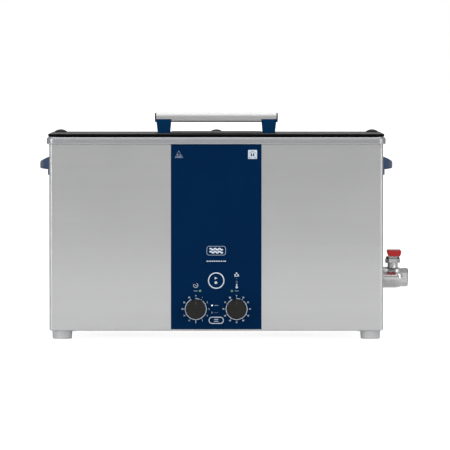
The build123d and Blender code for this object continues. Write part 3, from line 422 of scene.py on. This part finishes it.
def heating_mat(name):
    """Silicone heating mat with the weave of its glass cloth showing."""
    finish, tree, shader = new_finish(name, Metallic=0.0, Specular_IOR_Level=0.4)
    spot = own_spot(tree)
    across = place(tree, "TexWave", {"Vector": spot, "Scale": 260.0}, bands_direction="X").outputs["Fac"]
    along = place(tree, "TexWave", {"Vector": spot, "Scale": 260.0}, bands_direction="Z").outputs["Fac"]
    weave = calc(tree, "MULTIPLY", across, along)
    base = blend_colours(tree, weave, (0.3, 0.03, 0.015, 1), (0.52, 0.07, 0.035, 1))
    feed(tree, shader, base, spread(tree, weave, 0.62, 0.48))
    bump(tree, shader, weave, 0.5, 0.00012)
    return finish


def glass_tube(name):
    """Clear glass of the fuses."""
    finish, tree, shader = new_finish(name, Metallic=0.0, Transmission_Weight=0.85, IOR=1.5)
    marks = use(tree, HANDLING_MARKS, Size=60.0)
    base = blend_colours(tree, marks["Clouds"], (0.9, 0.95, 0.95, 1), (0.8, 0.86, 0.86, 1))
    feed(tree, shader, base, spread(tree, marks["Clouds"], 0.05, 0.16))
    return finish


ALONG_WALLS = (45.0, 45.0, 2600.0)
WALL_BANDS = (0.5, 0.5, 42.0)

FINISHES = {
    "brushed_sheet": brushed_metal("brushed_sheet", (0.597, 0.599, 0.602, 1), (0.553, 0.555, 0.558, 1),
                                   0.29, 0.37, ALONG_WALLS, WALL_BANDS, anisotropic=0.35),
    "tank_steel": brushed_metal("tank_steel", (0.465, 0.472, 0.486, 1), (0.415, 0.421, 0.434, 1),
                                0.31, 0.40, (40.0, 900.0, 900.0), (0.5, 20.0, 20.0), anisotropic=0.2),
    "bright_steel": brushed_metal("bright_steel", (0.76, 0.765, 0.775, 1), (0.66, 0.665, 0.675, 1),
                                  0.2, 0.3, (30.0, 2200.0, 2200.0), (1.0, 60.0, 60.0), relief=0.000002),
    "screw_steel": plated_metal("screw_steel", (0.58, 0.57, 0.55, 1), 0.3, (0.75, 0.74, 0.72, 1)),
    "blue_foil": control_film("blue_foil", (0.0006, 0.0185, 0.068, 1)),
    "blue_plastic": moulded("blue_plastic", (0.0010, 0.048, 0.150, 1), 0.45, specular=0.05, dust=0.03),
    "black_plastic": moulded("black_plastic", (0.0014, 0.0014, 0.0018, 1), 0.34, grain=1100.0, specular=0.06,
                             edge_wear_and_highlight=(0.008, 0.008, 0.008, 1), dust=0.012),
    "dark_knob": moulded("dark_knob", (0.0185, 0.0185, 0.0170, 1), 0.42, grain=1800.0, specular=0.15,
                         edge_wear_and_highlight=(0.04, 0.04, 0.038, 1), dust=0.03),
    "black_rubber": moulded("black_rubber", (0.016, 0.016, 0.017, 1), 0.62, grain=900.0, specular=0.3),
    "foot_rubber": moulded("foot_rubber", (0.58, 0.585, 0.595, 1), 0.55, grain=1000.0, specular=0.35,
                           edge_wear_and_highlight=(0.80, 0.805, 0.81, 1), dust=0.05),
    "nickel_brass": plated_metal("nickel_brass", (0.60, 0.603, 0.60, 1), 0.2, (0.70, 0.60, 0.42, 1)),
    "red_plastic": moulded("red_plastic", (0.56, 0.010, 0.014, 1), 0.32, grain=1300.0, specular=0.25,
                           coat=0.35, coat_rough=0.14, edge_wear_and_highlight=(0.75, 0.16, 0.15, 1), dust=0.03),
    "white_plastic": moulded("white_plastic", (0.72, 0.71, 0.67, 1), 0.4),
    "light_pipe": moulded("light_pipe", (0.75, 0.82, 0.8, 1), 0.15, relief=0.000003, dust=0.0),
    "aluminium": plated_metal("aluminium", (0.72, 0.73, 0.75, 1), 0.34, (0.85, 0.86, 0.88, 1)),
    "ceramic": moulded("ceramic", (0.30, 0.27, 0.2, 1), 0.5, grain=1900.0, dust=0.0),
    "copper": plated_metal("copper", (0.80, 0.45, 0.26, 1), 0.3, (0.95, 0.62, 0.42, 1)),
    "board_green": circuit_board("board_green"),
    "heater_red": heating_mat("heater_red"),
    "fuse_glass": glass_tube("fuse_glass"),
}

WHITE_INK = ink("white_ink", (0.64, 0.72, 0.82, 1))
SOFT_INK = ink("soft_ink", (0.30, 0.36, 0.46, 1))
DIM_INK = ink("dim_ink", (0.10, 0.14, 0.22, 1))
# Painted green glow of the lit lamps on the blue strip.
LAMP_GLOW_PAINT = ink("painted_lamp_glow", (0.003, 0.045, 0.045, 1))
POINTER_INK = ink("pointer_ink", (0.05, 0.055, 0.06, 1))
NAVY_INK = ink("navy_ink", (0.0012, 0.012, 0.04, 1))
GREEN_LENS = lamp_lens("green_lens", (0.02, 0.27, 0.17, 1), 0.12)
WHITE_LENS = lamp_lens("white_lens", (0.85, 0.92, 1.0, 1), 0.9)
DIM_LENS = lamp_lens("dim_lens", (0.03, 0.06, 0.11, 1), 0.0)

HANDLE_TUBE = satin_anodised("handle_tube", (0.76, 0.76, 0.76, 1), (0.70, 0.70, 0.70, 1))
# Grips with a painted highlight on their outer faces.
GRIP_BLUE_PAINTED_HIGHLIGHT = grip_with_painted_highlight("grip_blue_painted_highlight", (0.050, 0.088, 0.170, 1), (0.22, 0.22, 0.23, 1))

# Nodes whose look is finer than their slot's own.
SPECIAL = {"handle_bar": HANDLE_TUBE, "left_grip": GRIP_BLUE_PAINTED_HIGHLIGHT, "right_grip": GRIP_BLUE_PAINTED_HIGHLIGHT}
for part in frame["record"]["subparts"]:
    surface = nodes[part["node"]].data
    surface.materials.clear()
    surface.materials.append(SPECIAL.get(part["node"], FINISHES[part["material_slot"]]))

# ---------------------------------------------------------------- mesh building


def fitted(name, points, faces, finish, body, smooth=False):
    """Makes a piece from points in millimetres, and lets it ride on its body."""
    mesh = bpy.data.meshes.new(name)
    mesh.from_pydata([Vector(p) * MM for p in points], [], faces)
    mesh.validate()
    mesh.update()
    for face in mesh.polygons:
        face.use_smooth = smooth
    piece = bpy.data.objects.new(name, mesh)
    scene.collection.objects.link(piece)
    mesh.materials.append(finish)
    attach(piece, body)
    return piece


class Film:
    """Thin printed shapes on an upright face. Each is drawn in (x, z) about the film's own centre."""

    HALF_THICK = 0.05
    LETTER_SIZE = 1.38
    LETTER_WEIGHT = 0.035

    def __init__(self, centre, face_y, outward=-1):
        self.centre = centre
        self.back = face_y - outward * self.HALF_THICK
        self.front = face_y + outward * self.HALF_THICK
        self.flip = outward > 0
        self.points = []
        self.faces = []

    def shape(self, corners):
        """A closed outline, given anticlockwise as seen from the front of the machine."""
        start = len(self.points)
        count = len(corners)
        for depth in (self.front, self.back):
            self.points += [(self.centre[0] + x, depth, self.centre[1] + z) for x, z in corners]
        ring = list(range(start, start + count))
        self.face(ring)
        self.face([i + count for i in reversed(ring)])
        for i in range(count):
            j = (i + 1) % count
            self.face([ring[i], ring[i] + count, ring[j] + count, ring[j]])

    def face(self, corners):
        """One face, turned over where the film faces the rear."""
        self.faces.append(list(reversed(corners)) if self.flip else corners)

    def disc(self, x, z, radius, sides=28):
        turn = [2 * math.pi * i / sides for i in range(sides)]
        self.shape([(x + radius * math.cos(a), z + radius * math.sin(a)) for a in turn])

    def bar(self, x, z, width, height):
        w, h = width / 2, height / 2
        self.shape([(x - w, z - h), (x + w, z - h), (x + w, z + h), (x - w, z + h)])

    def line(self, first, last, width):
        """A straight stroke between two points."""
        along = (Vector(last) - Vector(first)).normalized()
        side = Vector((-along.y, along.x)) * width / 2
        a, b = Vector(first), Vector(last)
        self.shape([tuple(a - side), tuple(b - side), tuple(b + side), tuple(a + side)])

    def strip(self, middle_line, width, closed=False):
        """A stroke of even width along a line of points, as one band."""
        spots = [Vector(p) for p in middle_line]
        count = len(spots)
        left, right = [], []
        for i, spot in enumerate(spots):
            before = spots[i - 1] if closed or i else spot
            after = spots[(i + 1) % count] if closed or i + 1 < count else spot
            along = (after - before).normalized()
            side = Vector((-along.y, along.x)) * width / 2
            left.append(spot + side)
            right.append(spot - side)
        start = len(self.points)
        for depth in (self.front, self.back):
            for edge in (right, left):
                self.points += [(self.centre[0] + p.x, depth, self.centre[1] + p.y) for p in edge]
        near_right, near_left = start, start + count
        far_right, far_left = start + 2 * count, start + 3 * count
        for i in range(count if closed else count - 1):
            j = (i + 1) % count
            self.face([near_right + i, near_right + j, near_left + j, near_left + i])
            self.face([far_right + i, far_left + i, far_left + j, far_right + j])
            self.face([near_right + i, far_right + i, far_right + j, near_right + j])
            self.face([near_left + j, far_left + j, far_left + i, near_left + i])
        if not closed:
            for i, turn in ((0, False), (count - 1, True)):
                end = [near_right + i, near_left + i, far_left + i, far_right + i]
                self.face(list(reversed(end)) if turn else end)

    def arc(self, x, z, radius, start, end, width):
        """Part of a ring. Angles are degrees clockwise from the top."""
        steps = max(8, int(abs(end - start) / 4))
        angles = [math.radians(start + (end - start) * i / steps) for i in range(steps + 1)]
        self.strip([(x + radius * math.sin(a), z + radius * math.cos(a)) for a in reversed(angles)], width)

    def ring(self, x, z, radius, width, steps=72):
        angles = [2 * math.pi * i / steps for i in range(steps)]
        self.strip([(x + radius * math.cos(a), z + radius * math.sin(a)) for a in angles], width, True)

    def slot(self, x, z, width, height, line):
        """Outline of a slot with round ends, drawn on its outer edge."""
        radius = height / 2 - line / 2
        reach = width / 2 - height / 2
        spots = []
        for side, first in ((1, -90), (-1, 90)):
            for i in range(19):
                a = math.radians(first + 10 * i)
                spots.append((x + side * reach + radius * math.cos(a), z + radius * math.sin(a)))
        self.strip(spots, line, True)

    def digits(self, text, x, z, height):
        """A number, centred on a spot."""
        curve = bpy.data.curves.new("digits", "FONT")
        curve.body = text
        curve.size = height * self.LETTER_SIZE
        curve.align_x = "CENTER"
        curve.align_y = "CENTER"
        curve.resolution_u = 3
        curve.offset = height * self.LETTER_WEIGHT
        curve.extrude = self.HALF_THICK
        stand_in = bpy.data.objects.new("digits", curve)
        mesh = bpy.data.meshes.new_from_object(stand_in)
        start = len(self.points)
        face_y = (self.front + self.back) / 2
        lean = 1 if self.flip else -1
        for vertex in mesh.vertices:
            across, up, out = vertex.co
            spot = (self.centre[0] + x - lean * across, face_y + lean * out, self.centre[1] + z + up)
            self.points.append(spot)
        for polygon in mesh.polygons:
            self.faces.append([start + i for i in polygon.vertices])
        bpy.data.objects.remove(stand_in)
        bpy.data.curves.remove(curve)
        bpy.data.meshes.remove(mesh)

    def make(self, name, finish, body="housing"):
        """Turns what was drawn into one piece."""
        fitted(name, self.points, self.faces, finish, body)


def lathe(name, profile, origin, axis, finish, body, sides):
    """Turns a closed half-section (radius, height) round an axis through a point."""
    turn = Vector(UPWARD).rotation_difference(Vector(axis)).to_matrix()
    points, faces = [], []
    count = len(profile)
    for step in range(sides):
        angle = 2 * math.pi * step / sides
        for radius, height in profile:
            local = Vector((radius * math.cos(angle), radius * math.sin(angle), height))
            points.append(Vector(origin) + turn @ local)
    for step in range(sides):
        here, there = step * count, (step + 1) % sides * count
        for i in range(count):
            j = (i + 1) % count
            faces.append([here + i, there + i, there + j, here + j])
    clean_mesh(fitted(name, points, faces, finish, body, smooth=True))


def clean_mesh(piece):
    """Merges doubled points, drops flat faces and points the rest outward."""
    work = bmesh.new()
    work.from_mesh(piece.data)
    bmesh.ops.remove_doubles(work, verts=work.verts, dist=1e-7)
    bmesh.ops.dissolve_degenerate(work, edges=work.edges, dist=1e-8)
    bmesh.ops.recalc_face_normals(work, faces=work.faces)
    work.to_mesh(piece.data)
    work.free()


# ---------------------------------------------------------------- prints on the control strip

# How far a print on another print stands out.
OVERPRINT = 0.06

start_print = Film((START_SPOT.x, START_SPOT.z), START_FACE)
start_print.ring(0, 0.35, 12.15, 1.65)
start_print.shape([(-2.4, 2.2), (1.9, 4.1), (-2.4, 6.2)])
start_print.disc(-0.5, -3.0, 2.2)
start_print.make("start_print", WHITE_INK, "start_button")

mode_print = Film((MODE_SPOT.x, MODE_SPOT.z), MODE_FACE)
mode_print.slot(0, 0, 24.0, 11.0, 1.2)
for rise in (1.5, -1.4):
    mode_print.bar(0, rise, 6.6, 0.8)
mode_print.make("mode_print", WHITE_INK, "mode_button")

# An empty number is a plain long mark.
TIMER_NUMBERS = ("0", "1", "2", "3", "5", "7", "", "12", "15", "20", "25", "30")
TEMPERATURE_NUMBERS = ("0", "30", "35", "40", "45", "50", "55", "60", "65", "70", "75", "80")
DIAL_RING_R = 16.6
DIAL_RING_LINE = 1.1
# Where the setting marks and the long mark start and end, out from the dial's centre.
SHORT_MARK = (16.5, 17.8)
LONG_MARK = (17.6, 22.4)
NUMBER_R = 21.0
NUMBER_HEIGHT = 2.3


def dial_scale(name, spot, numbers):
    """Ring, number circle and setting marks round one dial."""
    scale = Film((spot.x, spot.z), FOIL_FACE)
    for start, end in ((40, 335), (-2, 20)):
        scale.arc(0, 0, DIAL_RING_R, start, end, DIAL_RING_LINE)
    for step, number in enumerate(numbers):
        angle = math.radians(30 * step)
        reach = Vector((math.sin(angle), math.cos(angle)))
        scale.line(reach * SHORT_MARK[0], reach * SHORT_MARK[1], 1.6)
        if number:
            scale.digits(number, NUMBER_R * math.sin(angle), NUMBER_R * math.cos(angle), NUMBER_HEIGHT)
        else:
            scale.line(reach * LONG_MARK[0], reach * LONG_MARK[1], 0.9)
    scale.make(name, WHITE_INK)


dial_scale("timer_scale", TIMER_SPOT, TIMER_NUMBERS)
dial_scale("temperature_scale", TEMPERATURE_SPOT, TEMPERATURE_NUMBERS)

# Signs stand in a column over each dial. Lamps stand in one row over the dials and in two between them.
DIAL_COLUMN = 32.4
LAMP_ROW = 76.3
READY_ROW = 53.4
DEGAS_ROW = 42.0
signs = Film((0, 0), FOIL_FACE)
# Clock over the timer, with a gap in its ring for the way it runs.
signs.arc(-DIAL_COLUMN, 85.2, 3.5, 20, 300, 0.6)
signs.line((-DIAL_COLUMN, 85.0), (-34.0, 87.2), 0.6)
signs.line((-32.6, 85.2), (-30.8, 83.8), 0.6)
# Thermometer over the temperature dial.
signs.disc(DIAL_COLUMN, 82.2, 1.9)
signs.bar(DIAL_COLUMN, 85.2, 1.7, 4.4)
# Three dots over a base line, for heating.
for x, z in ((29.9, 101.6), (34.5, 101.6), (32.2, 104.4)):
    signs.disc(x, z, 1.3)
signs.bar(32.2, 99.5, 7.4, 0.8)
# Rule under the motif, broken into dashes.
DASHES = (2.4, 1.6, 2.0, 1.6, 2.4, 1.6, 2.2, 1.4, 2.0, 1.6, 2.4)
DASH_STEP = 2.8
for step, width in enumerate(DASHES):
    signs.bar(-14.0 + DASH_STEP * step, 123.4, width, 1.7)
signs.make("panel_signs", WHITE_INK)

soft_signs = Film((0, 0), FOIL_FACE)
soft_signs.bar(-DIAL_COLUMN, LAMP_ROW, 6.4, 0.9)
soft_signs.bar(DIAL_COLUMN, LAMP_ROW, 6.0, 0.9)
soft_signs.bar(0.3, READY_ROW, 6.2, 1.0)
# The thermometer's tube.
soft_signs.strip([(31.5, 88.0), (31.5, 91.2), (31.8, 91.9), (DIAL_COLUMN, 92.2), (33.0, 91.9), (33.3, 91.2),
                  (33.3, 88.0)], 0.4)
soft_signs.make("soft_signs", SOFT_INK)

dim_signs = Film((0, 0), FOIL_FACE)
dim_signs.bar(0.0, DEGAS_ROW, 6.0, 0.9)
dim_signs.bar(DIAL_COLUMN, 95.6, 1.4, 1.2)
dim_signs.make("dim_signs", DIM_INK)

# An outlined plate with bold waves, standing where a badge would be.
BADGE = (0, 140)
BADGE_CORNER_X = 11.2
BADGE_CORNER_Z = 3.4
BADGE_CORNER_R = 3.6
badge = Film(BADGE, FOIL_FACE)
outline = []
for x_side, z_side, first in ((1, 1, 0), (-1, 1, 90), (-1, -1, 180), (1, -1, 270)):
    for step in range(7):
        a = math.radians(first + 15 * step)
        outline.append((x_side * BADGE_CORNER_X + BADGE_CORNER_R * math.cos(a),
                        z_side * BADGE_CORNER_Z + BADGE_CORNER_R * math.sin(a)))
badge.strip(outline, 0.9, True)
badge.make("badge_outline", SOFT_INK)
WAVE_ROW = 20.8
WAVE_STEPS = 40
waves = Film(BADGE, FOIL_FACE)
for rise in (-2.3, 2.3):
    wave = [(-10.4 + WAVE_ROW * i / WAVE_STEPS, rise + 1.1 * math.sin(3 * math.pi * i / 20))
            for i in range(WAVE_STEPS + 1)]
    waves.strip(wave, 2.5)
waves.make("badge_waves", WHITE_INK)

# Corner signs at the top: a warm-surface triangle and a drip square, both plain.
SIGN_ROW = 292.2
DRIP_SPOT = (57.4, SIGN_ROW)
corner_sign = Film((-59.0, SIGN_ROW), FOIL_FACE)
corner_sign.strip([(-6.3, -5.2), (6.3, -5.2), (0, 5.6)], 0.9, True)
corner_sign.bar(0, -3.9, 7.6, 1.0)
for shift in (-2.0, 0.0, 2.0):
    vapour = [(shift + 0.45 * math.sin(0.9 * i), -2.9 + 0.55 * i) for i in range(7)]
    corner_sign.strip(vapour, 0.6)
corner_sign.make("warm_surface_sign", SOFT_INK)
drip_square = Film(DRIP_SPOT, FOIL_FACE)
drip_square.bar(0, 0, 14.2, 14.2)
drip_square.make("drip_square", WHITE_INK)
drops = Film(DRIP_SPOT, FOIL_FACE - OVERPRINT)
drops.arc(0, -0.4, 5.0, -70, 70, 0.5)
for x in (-1.7, 1.7):
    drop = [(x, 3.4)]
    drop += [(x + 1.2 * math.cos(math.radians(a)), -1.6 + 1.4 * math.sin(math.radians(a)))
             for a in range(160, 381, 20)]
    drops.shape(drop)
for x, width in ((-5.0, 1.4), (-2.4, 1.0), (2.4, 1.0), (5.0, 1.4)):
    drops.bar(x, -5.2, width, 1.3)
drops.make("drip_drops", NAVY_INK)

# ---------------------------------------------------------------- lamps and dial details

LAMPS = (("heating_lamp", -25.3, LAMP_ROW, GREEN_LENS), ("running_lamp", 24.8, LAMP_ROW, GREEN_LENS),
         ("ready_lamp", -6.6, READY_ROW, WHITE_LENS), ("degas_lamp", -6.6, DEGAS_ROW, DIM_LENS))
DOME = [(0.0, 0.55), (0.45, 0.5), (0.85, 0.36), (1.12, 0.16), (1.22, 0.0), (1.22, -0.1), (0.0, -0.1)]
for name, x, z, lens in LAMPS:
    lathe(name, DOME, (x, FOIL_FACE, z), FORWARD, lens, "housing", 24)
# Teal rings round the two green lamps: painted glow of their light on the strip.
painted_glow = Film((0, 0), FOIL_FACE)
for name, x, z, lens in LAMPS[:2]:
    painted_glow.ring(x, z, 2.0, 1.3, 40)
painted_glow.make("painted_lamp_glow_rings", LAMP_GLOW_PAINT)

POINTER_TOP = 12.7
POINTER_FOOT = 7.7
POINTER_HALF = 0.6
# Depths behind the knob's frontmost edge: the foot and top of the inlay's face, and its back.
FOOT_DEPTH = 0.28
TOP_DEPTH = 0.03
INLAY_DEPTH = 1.25
INLAY_FACES = [[0, 1, 2, 3], [7, 6, 5, 4], [0, 4, 5, 1], [1, 5, 6, 2], [2, 6, 7, 3], [3, 7, 4, 0]]
for name, spot, body in (("timer_pointer", TIMER_SPOT, "timer_dial"),
                         ("temperature_pointer", TEMPERATURE_SPOT, "temperature_dial")):
    left, right = spot.x - POINTER_HALF, spot.x + POINTER_HALF
    foot = (KNOB_FACE + FOOT_DEPTH, spot.z + POINTER_FOOT)
    top = (KNOB_FACE + TOP_DEPTH, spot.z + POINTER_TOP)
    inlay = [(left, *foot), (right, *foot), (right, *top), (left, *top)]
    inlay += [(x, KNOB_FACE + INLAY_DEPTH, z) for x, y, z in inlay]
    fitted(name, inlay, INLAY_FACES, POINTER_INK, body)

# ---------------------------------------------------------------- small fittings


def block(name, low_corner, high_corner, finish, body, bevel):
    """A box between two corners in millimetres, with bevelled edges."""
    x0, y0, z0 = low_corner
    x1, y1, z1 = high_corner
    points = [(x, y, z) for z in (z0, z1) for x, y in ((x0, y0), (x1, y0), (x1, y1), (x0, y1))]
    faces = [[3, 2, 1, 0], [4, 5, 6, 7], [0, 1, 5, 4], [1, 2, 6, 5], [2, 3, 7, 6], [3, 0, 4, 7]]
    piece = fitted(name, points, faces, finish, body)
    rounding = piece.modifiers.new("rounding", "BEVEL")
    rounding.width = bevel * MM
    rounding.segments = 3


# Black ring on the gland nut under the drain lever's hub: painted shadow in the gap between them.
STEM = middle("gland_nut")
GLAND_TOP = high("gland_nut").z
SHADOW_RING_PROFILE = [(4.2, 0.15), (10.9, 0.15), (10.9, 2.6), (10.3, 2.9), (10.3, 0.75), (4.2, 0.75)]
lathe("lever_painted_shadow_ring", SHADOW_RING_PROFILE, (STEM.x, STEM.y, GLAND_TOP), UPWARD, FINISHES["black_rubber"], "drain_lever",
      56)

# Thread turns inside the outlet's mouth, standing in from the bore's wall.
GLAND_OVER_BORE = 26.8
OUTLET = (high("valve_body").x, STEM.y, STEM.z - GLAND_OVER_BORE)
BORE_R = 9.35
CREST_R = 8.75
PITCH = 1.6
for turn in range(5):
    start = -3.2 - PITCH * turn
    end = -2.4 - PITCH * turn
    ridge = [(BORE_R, start), (CREST_R, start + 0.1), (CREST_R, end - 0.1), (BORE_R, end)]
    lathe("outlet_thread_%d" % (turn + 1), ridge, OUTLET, OUT_OF_DRAIN, FINISHES["nickel_brass"], "housing",
          40)

# Contact blades in the mains inlet, earth uppermost.
INLET_X = middle("mains_inlet").x
BLADE_ROOT = PANEL_FACE - 18.0
BLADE_TIP = PANEL_FACE - 3.9
BLADE_HALF_WIDE = 1.02
BLADE_HALF_HIGH = 2.02
for name, x, z in (("earth_blade", 0.0, 74.0), ("live_blade", -7.0, 70.0), ("neutral_blade", 7.0, 70.0)):
    near = (INLET_X + x - BLADE_HALF_WIDE, BLADE_ROOT, z - BLADE_HALF_HIGH)
    far = (INLET_X + x + BLADE_HALF_WIDE, BLADE_TIP, z + BLADE_HALF_HIGH)
    block(name, near, far, FINISHES["nickel_brass"], "housing", 0.4)

# Blank rating plate on the rear panel: ruled lines, a ruled box and four rivets.
PLATE = (30.0, 150.0)
PLATE_SIZE = (84, 46)
plate = Film(PLATE, PANEL_FACE, 1)
plate.bar(0, 0, *PLATE_SIZE)
plate.make("rating_plate", FINISHES["aluminium"], "housing")
rules = Film(PLATE, PANEL_FACE + OVERPRINT, 1)
RULE = 0.5
for step, (x, width) in enumerate(((-8, 56), (-8, 56), (-8, 56), (-14, 40), (-14, 40))):
    rules.bar(x, 14.0 - 6.4 * step, width, RULE)
for z in (-12.5, -5.0):
    rules.bar(24, z, 17, RULE)
for x in (15.7, 32.3):
    rules.bar(x, -8.75, RULE, 8)
rules.make("rating_plate_rules", NAVY_INK, "housing")
RIVET = [(0.0, 0.9), (0.9, 0.8), (1.6, 0.35), (1.8, 0.0), (0.0, 0.0)]
RIVET_FOOT = PANEL_FACE + Film.HALF_THICK
for number, (x, z) in enumerate(((-39, 20), (39, 20), (-39, -20), (39, -20))):
    lathe("plate_rivet_%d" % (number + 1), RIVET, (PLATE[0] + x, RIVET_FOOT, PLATE[1] + z), REARWARD,
          FINISHES["aluminium"], "housing", 20)

# Paper disc on the fan's hub.
FAN_SPOT = (middle("fan_rotor").x, middle("fan_rotor").z)
HUB_FACE = high("fan_rotor").y
fan_label = Film(FAN_SPOT, HUB_FACE - 0.02, 1)
fan_label.disc(0, 0, 9.5, 40)
fan_label.make("fan_label", FINISHES["aluminium"], "fan")
fan_marks = Film(FAN_SPOT, HUB_FACE + 0.04, 1)
fan_marks.ring(0, 0, 8.4, 0.4)
fan_marks.arc(0, 0, 5.6, 30, 150, 0.8)
fan_marks.shape([(1.6, -5.6), (4.2, -7.4), (4.2, -3.8)])
fan_marks.make("fan_label_marks", NAVY_INK, "fan")

# Fill line printed on the tank's front and rear walls, and its short marks.
TANK_INNER_DEPTH = 300.0
WALL_FACE = TANK_INNER_DEPTH / 2 - 0.04
FILL_LEVEL = high("tank").z - 42.0
FILL_WIDTH = 60
FILL_LINE = 0.7
for name, wall, outward in (("front_fill_line", -WALL_FACE, 1), ("rear_fill_line", WALL_FACE, -1)):
    fill = Film((0, FILL_LEVEL), wall, outward)
    fill.bar(0, 0, FILL_WIDTH, FILL_LINE)
    for x in (-30, 0, 30):
        fill.bar(x, -1.4, FILL_LINE, 3.5)
    fill.make(name, NAVY_INK, "housing")

# Small parts soldered on the generator board: centre, width, depth and height of each.
BOARD_THICK = 1.6
BOARD_FACE = low("generator_board").z + BOARD_THICK
SMALL_PARTS = ((-120, 96, 7, 7, 5), (-132, 96, 7, 7, 5), (-150, 70, 16, 8, 3.4), (-150, 50, 12, 6, 3),
               (-120, 34, 5, 3, 2), (-110, 40, 5, 3, 2), (-165, 34, 5, 3, 2), (-165, 44, 5, 3, 2),
               (-64, 96, 9, 5, 8), (-70, 30, 4, 9, 5))
for number, (x, y, wide, deep, tall) in enumerate(SMALL_PARTS):
    near = (x - wide / 2, y - deep / 2, BOARD_FACE - 0.2)
    far = (x + wide / 2, y + deep / 2, BOARD_FACE + tall)
    block("board_part_%d" % (number + 1), near, far, FINISHES["black_rubber"], "housing", 0.3)

# ---------------------------------------------------------------- studio, in metres

# The floor's own brightness for what it lights, and for the eye.
FLOOR_GLOW = 0.12
FLOOR_SEEN = 0.86
OBJECT_HEART = (0, 0, 0.2)


def studio_floor():
    """A wide pale floor."""
    sides, reach = 96, 60.0
    ring = [(reach * math.cos(2 * math.pi * i / sides), reach * math.sin(2 * math.pi * i / sides), 0.0)
            for i in range(sides)]
    mesh = bpy.data.meshes.new("floor")
    mesh.from_pydata(ring, [], [list(range(sides))])
    floor = bpy.data.objects.new("floor", mesh)
    scene.collection.objects.link(floor)
    finish, tree, shader = new_finish("floor_paint", Roughness=0.75, Emission_Strength=1.0)
    tone = blend_colours(tree, noise(tree, own_spot(tree), 3.0, 4.0), grey(0.93), grey(0.90))
    tree.links.new(tone, shader.inputs["Base Color"])
    seen = place(tree, "LightPath").outputs["Is Camera Ray"]
    level = spread(tree, seen, FLOOR_GLOW, FLOOR_SEEN)
    glow = place(tree, "CombineColor", {0: level, 1: level, 2: level}).outputs[0]
    tree.links.new(glow, shader.inputs["Emission Color"])
    mesh.materials.append(finish)


def soft_box(name, spot, aim, width, height, power):
    """A rectangular studio light."""
    data = bpy.data.lights.new(name, "AREA")
    data.shape = "RECTANGLE"
    data.size = width
    data.size_y = height
    data.energy = power
    lamp = bpy.data.objects.new(name, data)
    scene.collection.objects.link(lamp)
    lamp.location = spot
    lamp.visible_camera = False
    lamp.rotation_mode = "QUATERNION"
    lamp.rotation_quaternion = (Vector(aim) - Vector(spot)).to_track_quat("-Z", "Y")


def studio_air():
    """Plain surroundings: white to the eye, and softly graded for what they light."""
    world = bpy.data.worlds.new("studio")
    scene.world = world
    world.use_nodes = True
    tree = world.node_tree
    background = tree.nodes["Background"]
    direction = place(tree, "TexCoord").outputs["Generated"]
    parts = place(tree, "SeparateXYZ", {0: direction}).outputs
    front = spread(tree, parts["Y"], 0.34, 0.05, -0.95, 0.25)
    above = spread(tree, parts["Z"], 0.0, 0.5, 0.0, 1.0)
    level = calc(tree, "ADD", front, above)
    shade = place(tree, "CombineColor", {0: level, 1: level, 2: level}).outputs[0]
    seen = place(tree, "LightPath").outputs["Is Camera Ray"]
    tree.links.new(blend_colours(tree, seen, shade, grey(1.0)), background.inputs["Color"])
    background.inputs["Strength"].default_value = 1.0


studio_floor()
studio_air()
soft_box("top_soft_box", (0.0, -0.3, 2.2), OBJECT_HEART, 2.2, 1.4, 14)
soft_box("left_soft_box", (-2.1, -2.0, 0.8), OBJECT_HEART, 0.4, 2.0, 15)
soft_box("right_soft_box", (2.1, -2.0, 0.8), OBJECT_HEART, 0.4, 2.0, 13)
soft_box("front_soft_box", (0.0, -3.4, 1.5), (0, 0, 0.25), 2.4, 0.9, 6)
soft_box("low_soft_box", (0.0, -0.8, 0.035), (0, -0.16, 0.03), 1.6, 0.06, 0.22)
soft_box("far_left_soft_box", (-2.6, 0.4, 1.2), OBJECT_HEART, 1.4, 1.2, 4)
soft_box("far_right_soft_box", (2.6, 0.4, 1.2), OBJECT_HEART, 1.4, 1.2, 4)
soft_box("back_soft_box", (0.4, 2.4, 1.3), OBJECT_HEART, 1.8, 1.4, 5)

scene.view_settings.view_transform = "Standard"

# ---------------------------------------------------------------- camera, in metres

CAMERA_DISTANCE = 10.0
FRAME_WIDTH = 0.711
SENSOR_WIDTH = 36.0
FRONT_PLANE = -0.162
AIM = Vector((0.0139, FRONT_PLANE, 0.1806))
CAMERA_HEIGHT = 0.45
camera_data = bpy.data.cameras.new("camera")
camera_data.sensor_width = SENSOR_WIDTH
camera_data.lens = SENSOR_WIDTH * CAMERA_DISTANCE / FRAME_WIDTH
camera_data.clip_end = 200.0
camera = bpy.data.objects.new("camera", camera_data)
scene.collection.objects.link(camera)
camera.location = (AIM.x, FRONT_PLANE - CAMERA_DISTANCE, CAMERA_HEIGHT)
camera.rotation_mode = "QUATERNION"
camera.rotation_quaternion = (AIM - camera.location).to_track_quat("-Z", "Y")
scene.camera = camera
